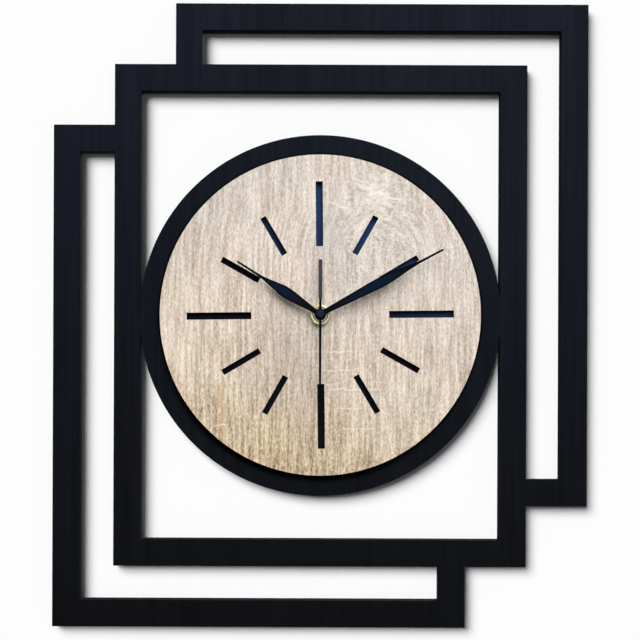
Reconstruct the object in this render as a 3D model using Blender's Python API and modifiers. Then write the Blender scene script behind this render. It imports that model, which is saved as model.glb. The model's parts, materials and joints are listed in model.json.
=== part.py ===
"""Rectangular wooden wall clock in metres, +Z up, facing -Y, with the wall at Y = 0.

Three stepped black frames and a round dial carrier are one sheet of black fibreboard. An oak-faced dial with
cut-out hour marks is glued on it, and a central nut clamps both to a quartz movement with a steel hanger.
The origin is on the hands' axis, on the rear face of the movement. A distance from the wall is a depth:
depth d lies at Y = -d, and a piece is given by its back depth and its front depth. Bearings in the
X-Z plane run anticlockwise as the clock is looked at, from +X.
"""

import math

import bpy
import bmesh
from mathutils import Euler, Matrix

MM = 0.001

# Clearances
SEAT = 0.3 * MM
RUN = 0.2 * MM
PRESS = 0.15 * MM
TUBE_PLAY = 0.25 * MM
ARBOR_PLAY = 0.3 * MM
SINK = 0.2 * MM

# Frame panel
FRAME_WIDTH = 235.5 * MM
FRAME_HEIGHT = 286.5 * MM
FRAME_STEP = 34.75 * MM
BAR_WIDTH = 15.3 * MM
PANEL_THICKNESS = 6.0 * MM
DISC_OVERLAP = 0.55 * MM

# Dial
RING_WIDTH = 11.9 * MM
DIAL_THICKNESS = 3.0 * MM
DIAL_TURN = math.radians(0.7)
QUARTER_MARK = (39.1 * MM, 75.8 * MM, 4.0 * MM)
HOUR_MARK = (39.9 * MM, 64.2 * MM, 3.4 * MM)
HOURS = 12

# Hands: a blade's shape is (share of its length from the axis, share of its greatest width)
HAND_THICKNESS = 0.45 * MM
HAND_COLLAR = 0.5 * MM
HAND_SPACING = 0.5 * MM
HOUR_LENGTH = 55.3 * MM
HOUR_WIDTH = 6.4 * MM
HOUR_SHAPE = ((0.07, 0.39), (0.16, 0.59), (0.24, 0.75), (0.34, 0.94), (0.42, 1.0), (0.47, 0.94), (0.53, 0.72),
              (0.60, 0.52), (0.65, 0.36), (0.71, 0.23), (0.78, 0.20), (1.0, 0.16))
MINUTE_LENGTH = 77.9 * MM
MINUTE_WIDTH = 6.0 * MM
MINUTE_SHAPE = ((0.06, 0.48), (0.17, 0.63), (0.29, 0.77), (0.40, 0.92), (0.51, 1.0), (0.58, 0.88),
                (0.64, 0.68), (0.69, 0.50), (0.76, 0.33), (0.80, 0.23), (1.0, 0.18))
NEEDLE_LENGTH = 60.0 * MM
NEEDLE_WIDTH = 1.4 * MM
NEEDLE_TIP = 1.2 * MM
TAIL_LENGTH = 30.4 * MM
TAIL_WIDTH = 2.1 * MM
TAIL_NECK = 9.0 * MM
HOUR_ANGLE = math.radians(57.7)
MINUTE_ANGLE = math.radians(-62.1)
SECOND_ANGLE = math.radians(180.0)

# Sleeve, nut, washers and arbors
SLEEVE_RADIUS = 4.0 * MM
SLEEVE_WALL = 1.25 * MM
SLEEVE_FLANGE_RADIUS = 5.5 * MM
SLEEVE_FLANGE = 0.6 * MM
SLEEVE_PROUD = 0.8 * MM
NUT_FLATS = 10.6 * MM
NUT_HEIGHT = 2.0 * MM
BRASS_WASHER_RADIUS = 6.0 * MM
BRASS_WASHER = 0.5 * MM
RUBBER_WASHER_RADIUS = 8.0 * MM
RUBBER_WASHER = 1.0 * MM
TUBE_WALL = 0.65 * MM
SECOND_ARBOR_RADIUS = 0.45 * MM
SECOND_CAP_RADIUS = 2.3 * MM
SECOND_CAP = 0.5 * MM
HUB_WALL = 0.6 * MM
MINUTE_HUB_WALL = 1.2 * MM

# Hanger
HANGER_THICKNESS = 0.8 * MM
HANGER_WIDTH = 20.0 * MM
HANGER_RISE = 4.5 * MM
HANGER_SETBACK = 8.0 * MM
HANGER_TAB = 16.0 * MM
EYE_RADIUS = 4.0 * MM
EYE_SLOT_WIDTH = 4.4 * MM
EYE_SLOT_RISE = 5.5 * MM
EYE_ABOVE_BEND = 1.5 * MM
BEND_ABOVE_CASE = 2.0 * MM
TAB_CORNER = 6.0 * MM

# Movement case and cell
CELL_DIAMETER = 14.5 * MM
CELL_LENGTH = 49.5 * MM
CELL_NUB_RADIUS = 2.75 * MM
CELL_NUB = 1.0 * MM
CELL_EDGE = 0.5 * MM
CASE_HEIGHT = 56.0 * MM
CASE_WALL = 1.2 * MM
CASE_CORNER = 3.0 * MM
FRONT_WALL = 1.5 * MM
BAY_FLOOR = 0.9 * MM
PARTITION = 1.0 * MM
COVER_THICKNESS = 1.2 * MM
CONTACT_THICKNESS = 0.3 * MM
CONTACT_STANDOFF = 0.95 * MM
CONTACT_REACH = 5.0 * MM
STRIP_WIDTH = 2.0 * MM

# Gear train: addendum, dedendum and tooth widths keep every pair free at any angle
ADDENDUM = 0.85
DEDENDUM = 1.15
TOOTH_AT_PITCH = 0.40
TOOTH_AT_TIP = 0.20
WHEEL = 0.8 * MM
LEVEL_GAP = 0.4 * MM
PINION_PROUD = 0.2 * MM
MODULE = 0.30 * MM
ROTOR_MODULE = 0.25 * MM
ROTOR_TEETH = 12
INTERMEDIATE_TEETH = 60
INTERMEDIATE_PINION = 10
SECOND_TEETH = 60
SECOND_PINION = 8
THIRD_TEETH = 64
THIRD_PINION = 8
CENTRE_TEETH = 60
CANNON_TEETH = 15
REVERSER_TEETH = 45
REVERSER_PINION = 12
HOUR_TEETH = 48
SETTER_TEETH = 15
THIRD_BEARING = math.radians(135.0)
INTERMEDIATE_BEARING = math.radians(80.0)
REVERSER_BEARING = math.radians(-10.0)
PIVOT_RADIUS = 0.5 * MM
PIVOT_DEPTH = 0.8 * MM
BOSS_WALL = 0.7 * MM
STUD_RADIUS = 0.7 * MM
CLUTCH_RADIUS = 2.0 * MM

# Gear plate and its posts
GEAR_PLATE = 1.0 * MM
PLATE_LEFT = -16.0 * MM
PLATE_RIGHT = 23.0 * MM
PLATE_INSET = 2.0 * MM
POST_RADIUS = 1.5 * MM
PLATE_LIFT = 0.5 * MM

# Setting knob
SETTER_RADIUS = 0.75 * MM
KNOB_RADIUS = 5.2 * MM
KNOB_HEIGHT = 2.7 * MM
KNOB_RECESS = 0.4 * MM
KNOB_RIBS = 24
WELL_WALL = 0.8 * MM

# Stepping motor
MAGNET_RADIUS = 3.1 * MM
MAGNET_HEIGHT = 1.9 * MM
MAGNET_GAP = 0.6 * MM
STATOR_THICKNESS = 0.8 * MM
STATOR_LEG = 3.0 * MM
STATOR_EYE_WALL = 1.4 * MM
CORE_WIDTH = 2.4 * MM
COIL_LENGTH = 24.0 * MM
COIL_SIDE = 5.6 * MM
COIL_FLANGE = 0.8 * MM
BOBBIN_WALL = 0.6 * MM
WINDING_INSET = 0.2 * MM
MOTOR_SCREW_SPAN = 30.0 * MM
MOTOR_SCREW_RADIUS = 0.75 * MM
MOTOR_SCREW_HEAD = 1.6 * MM
MOTOR_SCREW_BITE = 3.5 * MM
MOTOR_OFFSET = 3.6 * MM
MOTOR_RISE = 8.46 * MM
COIL_INSET = 0.7 * MM

# Circuit
BOARD_WIDTH = 13.0 * MM
BOARD_THICKNESS = 1.0 * MM
BOARD_TOP = 20.0 * MM
BOARD_LIFT = 0.9 * MM
BOARD_INSET = 1.6 * MM
BOARD_POST_INSET = 2.5 * MM
BOARD_POST_MARGIN = 3.8 * MM
BOARD_POST_RADIUS = 1.3 * MM
BOARD_LAP = 4.3 * MM
CHIP_RADIUS = 2.6 * MM
CHIP_HEIGHT = 1.0 * MM
CHIP_Z = 2.0 * MM
CHIP_DOME = ((1.0, 0.0), (0.9, 0.5), (0.55, 0.88), (0.0, 1.0))
CRYSTAL_RADIUS = 1.0 * MM
CRYSTAL_LENGTH = 6.0 * MM
CRYSTAL_Z = 9.5 * MM

# Depths of the stack, from the wall outwards
CELL_RADIUS = CELL_DIAMETER / 2
CASE_DEPTH = CELL_DIAMETER + 2 * SEAT + BAY_FLOOR
HANGER_BACK = CASE_DEPTH + SEAT
RUBBER_BACK = HANGER_BACK + HANGER_THICKNESS + SEAT
PANEL_BACK = RUBBER_BACK + RUBBER_WASHER + SEAT
DIAL_BACK = PANEL_BACK + PANEL_THICKNESS + SEAT
BRASS_BACK = DIAL_BACK + DIAL_THICKNESS + SEAT
NUT_BACK = BRASS_BACK + BRASS_WASHER + SEAT
SLEEVE_FRONT = NUT_BACK + NUT_HEIGHT + SLEEVE_PROUD
HOUR_COLLAR_BACK = SLEEVE_FRONT + SEAT
HOUR_HAND_BACK = HOUR_COLLAR_BACK + HAND_COLLAR
HOUR_TUBE_FRONT = HOUR_HAND_BACK + HAND_THICKNESS + SEAT
MINUTE_COLLAR_BACK = HOUR_TUBE_FRONT + HAND_SPACING
MINUTE_HAND_BACK = MINUTE_COLLAR_BACK + HAND_COLLAR
MINUTE_TUBE_FRONT = MINUTE_HAND_BACK + HAND_THICKNESS + SEAT
SECOND_PIPE_BACK = MINUTE_TUBE_FRONT + HAND_SPACING
SECOND_HAND_BACK = SECOND_PIPE_BACK + HAND_COLLAR
SECOND_CAP_BACK = SECOND_HAND_BACK + HAND_THICKNESS + RUN
SECOND_CAP_FRONT = SECOND_CAP_BACK + SECOND_CAP

# Radii that fit inside each other on the hands' axis
SLEEVE_BORE = SLEEVE_RADIUS - SLEEVE_WALL
HOUR_TUBE_RADIUS = SLEEVE_BORE - TUBE_PLAY
HOUR_TUBE_BORE = HOUR_TUBE_RADIUS - TUBE_WALL
MINUTE_TUBE_RADIUS = HOUR_TUBE_BORE - TUBE_PLAY
SECOND_CLEARANCE = SECOND_ARBOR_RADIUS + ARBOR_PLAY
SECOND_PIPE_RADIUS = SECOND_ARBOR_RADIUS + RUN + HUB_WALL
THREAD_CLEARANCE = SLEEVE_RADIUS + SEAT

# Movement levels, from the front wall of the case back to its cover
FRONT_FLOOR = CASE_DEPTH - FRONT_WALL
FLANGE_BACK = FRONT_FLOOR - RUN - SLEEVE_FLANGE
HOUR_LEVEL = FLANGE_BACK - SEAT - WHEEL
CANNON_LEVEL = HOUR_LEVEL - LEVEL_GAP - WHEEL
CENTRE_LEVEL = CANNON_LEVEL - LEVEL_GAP - WHEEL
THIRD_LEVEL = CENTRE_LEVEL - LEVEL_GAP - WHEEL
PLATE_BACK = THIRD_LEVEL - LEVEL_GAP - GEAR_PLATE
SECOND_LEVEL = PLATE_BACK - LEVEL_GAP - WHEEL
ROTOR_LEVEL = SECOND_LEVEL - LEVEL_GAP - WHEEL
MAGNET_BACK = ROTOR_LEVEL - SEAT - MAGNET_HEIGHT
STATOR_BACK = MAGNET_BACK + (MAGNET_HEIGHT - STATOR_THICKNESS) / 2
CORE_BACK = STATOR_BACK + STATOR_THICKNESS + SEAT
RIM = COVER_THICKNESS + SEAT
REAR_PIVOT = RIM + SEAT
PLATE_PIVOT_FRONT = PLATE_BACK + GEAR_PLATE - SEAT
FRONT_PIVOT = FRONT_FLOOR - SEAT - 2 * RUN
BOARD_BACK = ROTOR_LEVEL - RUN - BOARD_THICKNESS
STRIP_BACK = RIM + 2 * SEAT
STRIP_FRONT = STRIP_BACK + STRIP_WIDTH

# Outline of the case
CONTACT_X = (CELL_LENGTH + CELL_NUB) / 2 + SEAT
INNER_HALF_WIDTH = CONTACT_X + CONTACT_THICKNESS + CONTACT_STANDOFF
CASE_HALF_WIDTH = INNER_HALF_WIDTH + CASE_WALL
CASE_HALF_HEIGHT = CASE_HEIGHT / 2
CELL_Z = -CASE_HALF_HEIGHT + CASE_WALL + SEAT + CELL_RADIUS
CELL_DEPTH = SEAT + CELL_RADIUS
PARTITION_LOW = CELL_Z + CELL_RADIUS + SEAT
PARTITION_HIGH = PARTITION_LOW + PARTITION
COVER_LOW = PARTITION_LOW + PARTITION / 2

# Bearings and centres of the wheels
THIRD_DISTANCE = (SECOND_PINION + THIRD_TEETH) * MODULE / 2
CENTRE_MODULE = 2 * THIRD_DISTANCE / (THIRD_PINION + CENTRE_TEETH)
INTERMEDIATE_DISTANCE = (INTERMEDIATE_PINION + SECOND_TEETH) * MODULE / 2
ROTOR_DISTANCE = (ROTOR_TEETH + INTERMEDIATE_TEETH) * ROTOR_MODULE / 2
REVERSER_DISTANCE = (CANNON_TEETH + REVERSER_TEETH) * MODULE / 2
HOUR_MODULE = 2 * REVERSER_DISTANCE / (REVERSER_PINION + HOUR_TEETH)
SETTER_DISTANCE = (SETTER_TEETH + REVERSER_TEETH) * MODULE / 2


def away(start, distance, bearing):
    """The point in the X-Z plane at a distance and bearing from another."""
    return (start[0] + distance * math.cos(bearing), start[1] + distance * math.sin(bearing))


AXIS = (0.0, 0.0)
THIRD_AT = away(AXIS, THIRD_DISTANCE, THIRD_BEARING)
INTERMEDIATE_AT = away(AXIS, INTERMEDIATE_DISTANCE, INTERMEDIATE_BEARING)
COIL_Z = CASE_HALF_HEIGHT - CASE_WALL - COIL_INSET - COIL_SIDE / 2
ROTOR_BEARING = math.asin((COIL_Z - MOTOR_RISE - INTERMEDIATE_AT[1]) / ROTOR_DISTANCE)
ROTOR_AT = away(INTERMEDIATE_AT, ROTOR_DISTANCE, ROTOR_BEARING)
REVERSER_AT = away(AXIS, REVERSER_DISTANCE, REVERSER_BEARING)
SETTER_AT = away(REVERSER_AT, SETTER_DISTANCE, REVERSER_BEARING)
MOTOR_X = ROTOR_AT[0] - MOTOR_OFFSET
MOTOR_SCREWS = tuple((MOTOR_X + side * MOTOR_SCREW_SPAN / 2, COIL_Z) for side in (-1, 1))
PLATE_LOW = PARTITION_HIGH + PLATE_LIFT
PLATE_TOP = COIL_Z - COIL_SIDE / 2 - SEAT
PLATE_POSTS = tuple((x, z)
                    for x in (PLATE_LEFT + PLATE_INSET, PLATE_RIGHT - PLATE_INSET)
                    for z in (PLATE_LOW + PLATE_INSET, PLATE_TOP - PLATE_INSET))
BOARD_LEFT = -INNER_HALF_WIDTH + BOARD_INSET
BOARD_LOW = PARTITION_HIGH + BOARD_LIFT
BOARD_POSTS = tuple((BOARD_LEFT + BOARD_POST_INSET, z)
                    for z in (BOARD_LOW + BOARD_POST_MARGIN, BOARD_TOP - BOARD_POST_MARGIN))

# Face counts
DISC_STEPS = 96
DIAL_STEPS = 160
ROUND_STEPS = 32
SMALL_STEPS = 20


def new_collection(name):
    """An empty collection linked to the scene."""
    collection = bpy.data.collections.new(name)
    bpy.context.scene.collection.children.link(collection)
    return collection


def clear_scene():
    """Remove whatever the open scene holds."""
    for item in list(bpy.data.objects):
        bpy.data.objects.remove(item, do_unlink=True)


def circle(radius, steps=ROUND_STEPS, centre=AXIS):
    """Points of a circle."""
    turn = 2 * math.pi / steps
    return [away(centre, radius, k * turn) for k in range(steps)]


def rectangle(left, low, right, high):
    """Points of an upright rectangle."""
    return [(left, low), (right, low), (right, high), (left, high)]


def rounded(left, low, right, high, radii, steps=6):
    """Points of a rectangle whose corners, from the lower right one on anticlockwise, have these radii."""
    corners = ((right, low, -1, 1, -90), (right, high, -1, -1, 0),
               (left, high, 1, -1, 90), (left, low, 1, 1, 180))
    points = []
    for (x, z, inward_x, inward_z, start), radius in zip(corners, radii):
        if radius == 0:
            points.append((x, z))
            continue
        centre = (x + inward_x * radius, z + inward_z * radius)
        bearings = [math.radians(start + 90 * k / steps) for k in range(steps + 1)]
        points += [away(centre, radius, bearing) for bearing in bearings]
    return points


def swung(points, bearing):
    """Points turned anticlockwise about the hands' axis."""
    return [away(away(AXIS, x, bearing), z, bearing + math.pi / 2) for x, z in points]


def toothed(teeth, module, first=0.0):
    """Points of a toothed rim whose first tooth points along the bearing first."""
    pitch = 2 * math.pi / teeth
    radius = teeth * module / 2
    tip = pitch * TOOTH_AT_TIP / 2
    root = pitch * (TOOTH_AT_PITCH + (TOOTH_AT_PITCH - TOOTH_AT_TIP) * DEDENDUM / ADDENDUM) / 2
    sides = ((-root, radius - DEDENDUM * module), (-tip, radius + ADDENDUM * module),
             (tip, radius + ADDENDUM * module), (root, radius - DEDENDUM * module))
    return [away(AXIS, reach, first + k * pitch + offset) for k in range(teeth) for offset, reach in sides]


def meshing(first, teeth, other_teeth, bearing):
    """First tooth bearing of a wheel that meshes with one at this bearing from it."""
    ahead = (bearing - first) * teeth / (2 * math.pi) % 1
    return bearing + math.pi - (0.5 - ahead) * 2 * math.pi / other_teeth


def place(item, at=AXIS, depth=0.0, facing="Y"):
    """Stand a piece made in its own X-Y plane in the X-Z plane, its +Z to the front, or along +X."""
    spin = 0 if facing == "Y" else math.pi / 2
    turn = Euler((math.pi / 2, 0, spin)).to_matrix().to_4x4()
    item.matrix_world = Matrix.Translation((at[0], -depth, at[1])) @ turn


def settled(guide, collection):
    """A mesh object in place of a curve or of a profile with its modifiers."""
    collection.objects.link(guide)
    bpy.context.view_layer.update()
    evaluated = guide.evaluated_get(bpy.context.evaluated_depsgraph_get())
    mesh = bpy.data.meshes.new_from_object(evaluated)
    shell = bmesh.new()
    shell.from_mesh(mesh)
    bmesh.ops.remove_doubles(shell, verts=shell.verts, dist=1e-7)
    shell.to_mesh(mesh)
    shell.free()
    mesh.shade_smooth()
    mesh.set_sharp_from_angle(angle=math.radians(30))
    name = guide.name
    matrix = guide.matrix_world.copy()
    bpy.data.objects.remove(guide, do_unlink=True)
    piece = bpy.data.objects.new(name, mesh)
    mesh.name = name
    piece.matrix_world = matrix
    collection.objects.link(piece)
    return piece


def prism(name, outlines, back, front, at=AXIS, facing="Y", collection=None):
    """A flat outline, then its holes, filled from one depth to another, or from one X to another."""
    curve = bpy.data.curves.new(name, "CURVE")
    curve.dimensions = "2D"
    curve.fill_mode = "BOTH"
    curve.extrude = (front - back) / 2
    for outline in outlines:
        spline = curve.splines.new("POLY")
        spline.points.add(len(outline) - 1)
        for point, (u, v) in zip(spline.points, outline):
            point.co = (u, v, 0, 1)
        spline.use_cyclic_u = True
    guide = bpy.data.objects.new(name, curve)
    middle = (front + back) / 2
    if facing == "Y":
        place(guide, at, middle)
    else:
        place(guide, (middle, at[1]), 0.0, "X")
    return settled(guide, collection or PARTS)


def turned(name, profile, at=AXIS, steps=ROUND_STEPS, closed=False, along="Y", collection=None):
    """A profile of (radius, depth) turned round; a ring's profile is closed."""
    mesh = bpy.data.meshes.new(name)
    edges = [(k, k + 1) for k in range(len(profile) - 1)]
    if closed:
        edges.append((len(profile) - 1, 0))
    mesh.from_pydata([(radius, 0, depth) for radius, depth in profile], edges, [])
    guide = bpy.data.objects.new(name, mesh)
    screw = guide.modifiers.new("turn", "SCREW")
    screw.axis = "Z"
    screw.angle = 2 * math.pi
    screw.steps = steps
    screw.render_steps = steps
    screw.use_merge_vertices = True
    screw.merge_threshold = 1e-6
    if along == "Y":
        place(guide, at)
    elif along == "X":
        guide.matrix_world = Matrix.Translation(at) @ Matrix.Rotation(math.pi / 2, 4, "Y")
    else:
        guide.matrix_world = Matrix.Translation(at)
    return settled(guide, collection or PARTS)


def ring(name, radius, bore, back, front, **options):
    """A round ring between two depths."""
    profile = [(radius, front), (radius, back), (bore, back), (bore, front)]
    return turned(name, profile, closed=True, **options)


def rod(name, radius, back, front, **options):
    """A round rod between two depths."""
    return turned(name, [(0, front), (radius, front), (radius, back), (0, back)], **options)


def combine(piece, tools, operation):
    """Join tools to a piece, or cut them from it, in order."""
    for tool in tools:
        modifier = piece.modifiers.new(tool.name, "BOOLEAN")
        modifier.operation = operation
        modifier.solver = "EXACT"
        modifier.object = tool
        tool.hide_render = True
        tool.display_type = "WIRE"
        matrix = tool.matrix_world.copy()
        tool.parent = piece
        tool.matrix_parent_inverse = piece.matrix_world.inverted()
        tool.matrix_world = matrix
    return piece


def painted(piece, colour, roughness, metallic=0.0):
    """Give a piece its own material."""
    material = bpy.data.materials.new(piece.name)
    material.use_nodes = True
    shader = material.node_tree.nodes["Principled BSDF"]
    shader.inputs["Base Color"].default_value = (*colour, 1.0)
    shader.inputs["Roughness"].default_value = roughness
    shader.inputs["Metallic"].default_value = metallic
    piece.data.materials.clear()
    piece.data.materials.append(material)
    return piece


def pivot(name, at, pieces):
    """An empty on a joint's axis that carries the pieces which turn about it."""
    empty = bpy.data.objects.new(name, None)
    empty.matrix_world = Matrix.Translation((at[0], 0, at[1]))
    PARTS.objects.link(empty)
    for piece in pieces:
        matrix = piece.matrix_world.copy()
        piece.parent = empty
        piece.matrix_parent_inverse = empty.matrix_world.inverted()
        piece.matrix_world = matrix
    return empty


BLACK_BOARD = (0.010, 0.012, 0.018)
OAK = (0.66, 0.58, 0.48)
HAND_NAVY = (0.008, 0.014, 0.032)
BLACK_PLASTIC = (0.016, 0.016, 0.018)
WHITE_PLASTIC = (0.78, 0.78, 0.75)
NATURAL_PLASTIC = (0.62, 0.60, 0.52)
RUBBER = (0.015, 0.015, 0.016)
STEEL = (0.56, 0.57, 0.58)
DARK_STEEL = (0.16, 0.16, 0.17)
BRASS = (0.72, 0.53, 0.22)
NICKEL = (0.66, 0.64, 0.60)
COPPER = (0.60, 0.24, 0.10)
BOARD_GREEN = (0.03, 0.16, 0.07)
CELL_JACKET = (0.12, 0.22, 0.36)


def arch_window(side):
    """The opening of the middle frame above the disc (side 1) or below it (side -1)."""
    half_width = FRAME_WIDTH / 2 - BAR_WIDTH
    edge = FRAME_HEIGHT / 2 - BAR_WIDTH
    radius = half_width + DISC_OVERLAP
    start = math.acos(half_width / radius)
    sweep = math.pi - 2 * start
    arc = [away(AXIS, radius, start + sweep * k / DISC_STEPS) for k in range(DISC_STEPS + 1)]
    arc[0] = (half_width, arc[0][1])
    arc[-1] = (-half_width, arc[-1][1])
    points = [(half_width, edge)] + arc + [(-half_width, edge)]
    return [(x, side * z) for x, z in points]


def corner_window(side):
    """The slot between the middle frame and the one stepped up to the right (side 1) or down to the left."""
    x_out = FRAME_WIDTH / 2 + FRAME_STEP - BAR_WIDTH
    z_out = FRAME_HEIGHT / 2 + FRAME_STEP - BAR_WIDTH
    x_in = FRAME_WIDTH / 2
    z_in = FRAME_HEIGHT / 2
    x_end = -x_in + FRAME_STEP + BAR_WIDTH
    z_end = -z_in + FRAME_STEP + BAR_WIDTH
    points = [(x_out, z_end), (x_out, z_out), (x_end, z_out), (x_end, z_in), (x_in, z_in), (x_in, z_end)]
    return [(side * x, side * z) for x, z in points]


def frame_panel():
    """The three stepped frames and the disc behind the dial, cut as one sheet."""
    x_in = FRAME_WIDTH / 2
    z_in = FRAME_HEIGHT / 2
    x_out = x_in + FRAME_STEP
    z_out = z_in + FRAME_STEP
    half = [(x_in - FRAME_STEP, -z_in), (x_in, -z_in), (x_in, -z_in + FRAME_STEP),
            (x_out, -z_in + FRAME_STEP), (x_out, z_out), (-x_in + FRAME_STEP, z_out)]
    outline = half + [(-x, -z) for x, z in half]
    holes = [arch_window(1), arch_window(-1), corner_window(1), corner_window(-1), circle(THREAD_CLEARANCE)]
    piece = prism("frame_panel", [outline] + holes, PANEL_BACK, PANEL_BACK + PANEL_THICKNESS)
    painted(piece, BLACK_BOARD, 0.55)


def dial():
    """The round oak-faced dial with twelve slots cut through it."""
    radius = FRAME_WIDTH / 2 - BAR_WIDTH + DISC_OVERLAP - RING_WIDTH
    outlines = [circle(radius, DIAL_STEPS), circle(THREAD_CLEARANCE)]
    for hour in range(HOURS):
        start, end, width = QUARTER_MARK if hour % 3 == 0 else HOUR_MARK
        bearing = DIAL_TURN + math.pi / 2 - hour * 2 * math.pi / HOURS
        corners = [(start, -width / 2), (end, -width / 2), (end, width / 2), (start, width / 2)]
        outlines.append(swung(corners, bearing))
    painted(prism("dial", outlines, DIAL_BACK, DIAL_BACK + DIAL_THICKNESS), OAK, 0.6)


def thick_line(points, thickness):
    """Outline of a bent strip whose middle line runs through these points."""
    sides = []
    for side in (1, -1):
        row = []
        for k, point in enumerate(points):
            before = points[max(k - 1, 0)]
            after = points[min(k + 1, len(points) - 1)]
            arriving = math.atan2(point[1] - before[1], point[0] - before[0])
            leaving = math.atan2(after[1] - point[1], after[0] - point[0])
            if k == 0:
                arriving = leaving
            if k == len(points) - 1:
                leaving = arriving
            reach = thickness / 2 / math.cos((leaving - arriving) / 2)
            row.append(away(point, side * reach, (arriving + leaving) / 2 + math.pi / 2))
        sides.append(row)
    return sides[0] + sides[1][::-1]


def hanger():
    """Bent steel strip on the sleeve, with a keyhole eye for a nail above the movement."""
    middle = HANGER_BACK + HANGER_THICKNESS / 2
    bend_low = CASE_HALF_HEIGHT + BEND_ABOVE_CASE
    bend_high = bend_low + HANGER_RISE
    tab_top = bend_high + HANGER_TAB
    half = HANGER_WIDTH / 2
    line = [(-middle, -half), (-middle, bend_low), (-middle + HANGER_SETBACK, bend_high),
            (-middle + HANGER_SETBACK, tab_top)]
    piece = prism("hanger", [thick_line(line, HANGER_THICKNESS)], -half - SINK, half + SINK, facing="X")
    foot_corner = half - SINK
    outline = rounded(-half, -half, half, tab_top, (foot_corner, TAB_CORNER, TAB_CORNER, foot_corner), 8)
    front = prism("hanger_outline", [outline, circle(THREAD_CLEARANCE)], 0, PANEL_BACK, collection=CUTTERS)
    eye_z = bend_high + EYE_ABOVE_BEND + EYE_RADIUS
    eye_outline = circle(EYE_RADIUS, SMALL_STEPS, (0, eye_z))
    eye = prism("hanger_eye", [eye_outline], 0, PANEL_BACK, collection=CUTTERS)
    slot_end = circle(EYE_SLOT_WIDTH / 2, SMALL_STEPS, (0, eye_z + EYE_SLOT_RISE))
    arch = slot_end[:SMALL_STEPS // 2 + 1]
    slot = [(EYE_SLOT_WIDTH / 2, eye_z)] + arch + [(-EYE_SLOT_WIDTH / 2, eye_z)]
    nail_slot = prism("hanger_slot", [slot], 0, PANEL_BACK, collection=CUTTERS)
    combine(piece, [front], "INTERSECT")
    combine(piece, [eye, nail_slot], "DIFFERENCE")
    painted(piece, STEEL, 0.35, 1.0)


def fasteners():
    """Washers, nut and sleeve that clamp the movement, hanger, panel and dial."""
    rubber_front = RUBBER_BACK + RUBBER_WASHER
    rubber = ring("rubber_washer", RUBBER_WASHER_RADIUS, THREAD_CLEARANCE, RUBBER_BACK, rubber_front)
    painted(rubber, RUBBER, 0.85)
    brass_front = BRASS_BACK + BRASS_WASHER
    brass = ring("brass_washer", BRASS_WASHER_RADIUS, THREAD_CLEARANCE, BRASS_BACK, brass_front)
    painted(brass, BRASS, 0.28, 1.0)
    corners = circle(NUT_FLATS / math.sqrt(3), 6)
    nut = prism("hex_nut", [corners, circle(THREAD_CLEARANCE)], NUT_BACK, NUT_BACK + NUT_HEIGHT)
    painted(nut, BRASS, 0.25, 1.0)
    flange_front = FLANGE_BACK + SLEEVE_FLANGE
    profile = [(SLEEVE_RADIUS, SLEEVE_FRONT), (SLEEVE_RADIUS, flange_front),
               (SLEEVE_FLANGE_RADIUS, flange_front), (SLEEVE_FLANGE_RADIUS, FLANGE_BACK),
               (SLEEVE_BORE, FLANGE_BACK), (SLEEVE_BORE, SLEEVE_FRONT)]
    painted(turned("threaded_sleeve", profile, closed=True), BRASS, 0.3, 1.0)


def blind_boss(name, at, radius, root, tip, hole_end):
    """A round boss and the blind hole in it for a pivot."""
    low, high = sorted((root, tip))
    boss = rod(name, radius + BOSS_WALL, low, high, at=at, steps=SMALL_STEPS, collection=CUTTERS)
    low, high = sorted((hole_end, tip + (SEAT if tip > root else -SEAT)))
    hole = rod(name + "_hole", radius, low, high, at=at, steps=SMALL_STEPS, collection=CUTTERS)
    return boss, hole


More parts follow.
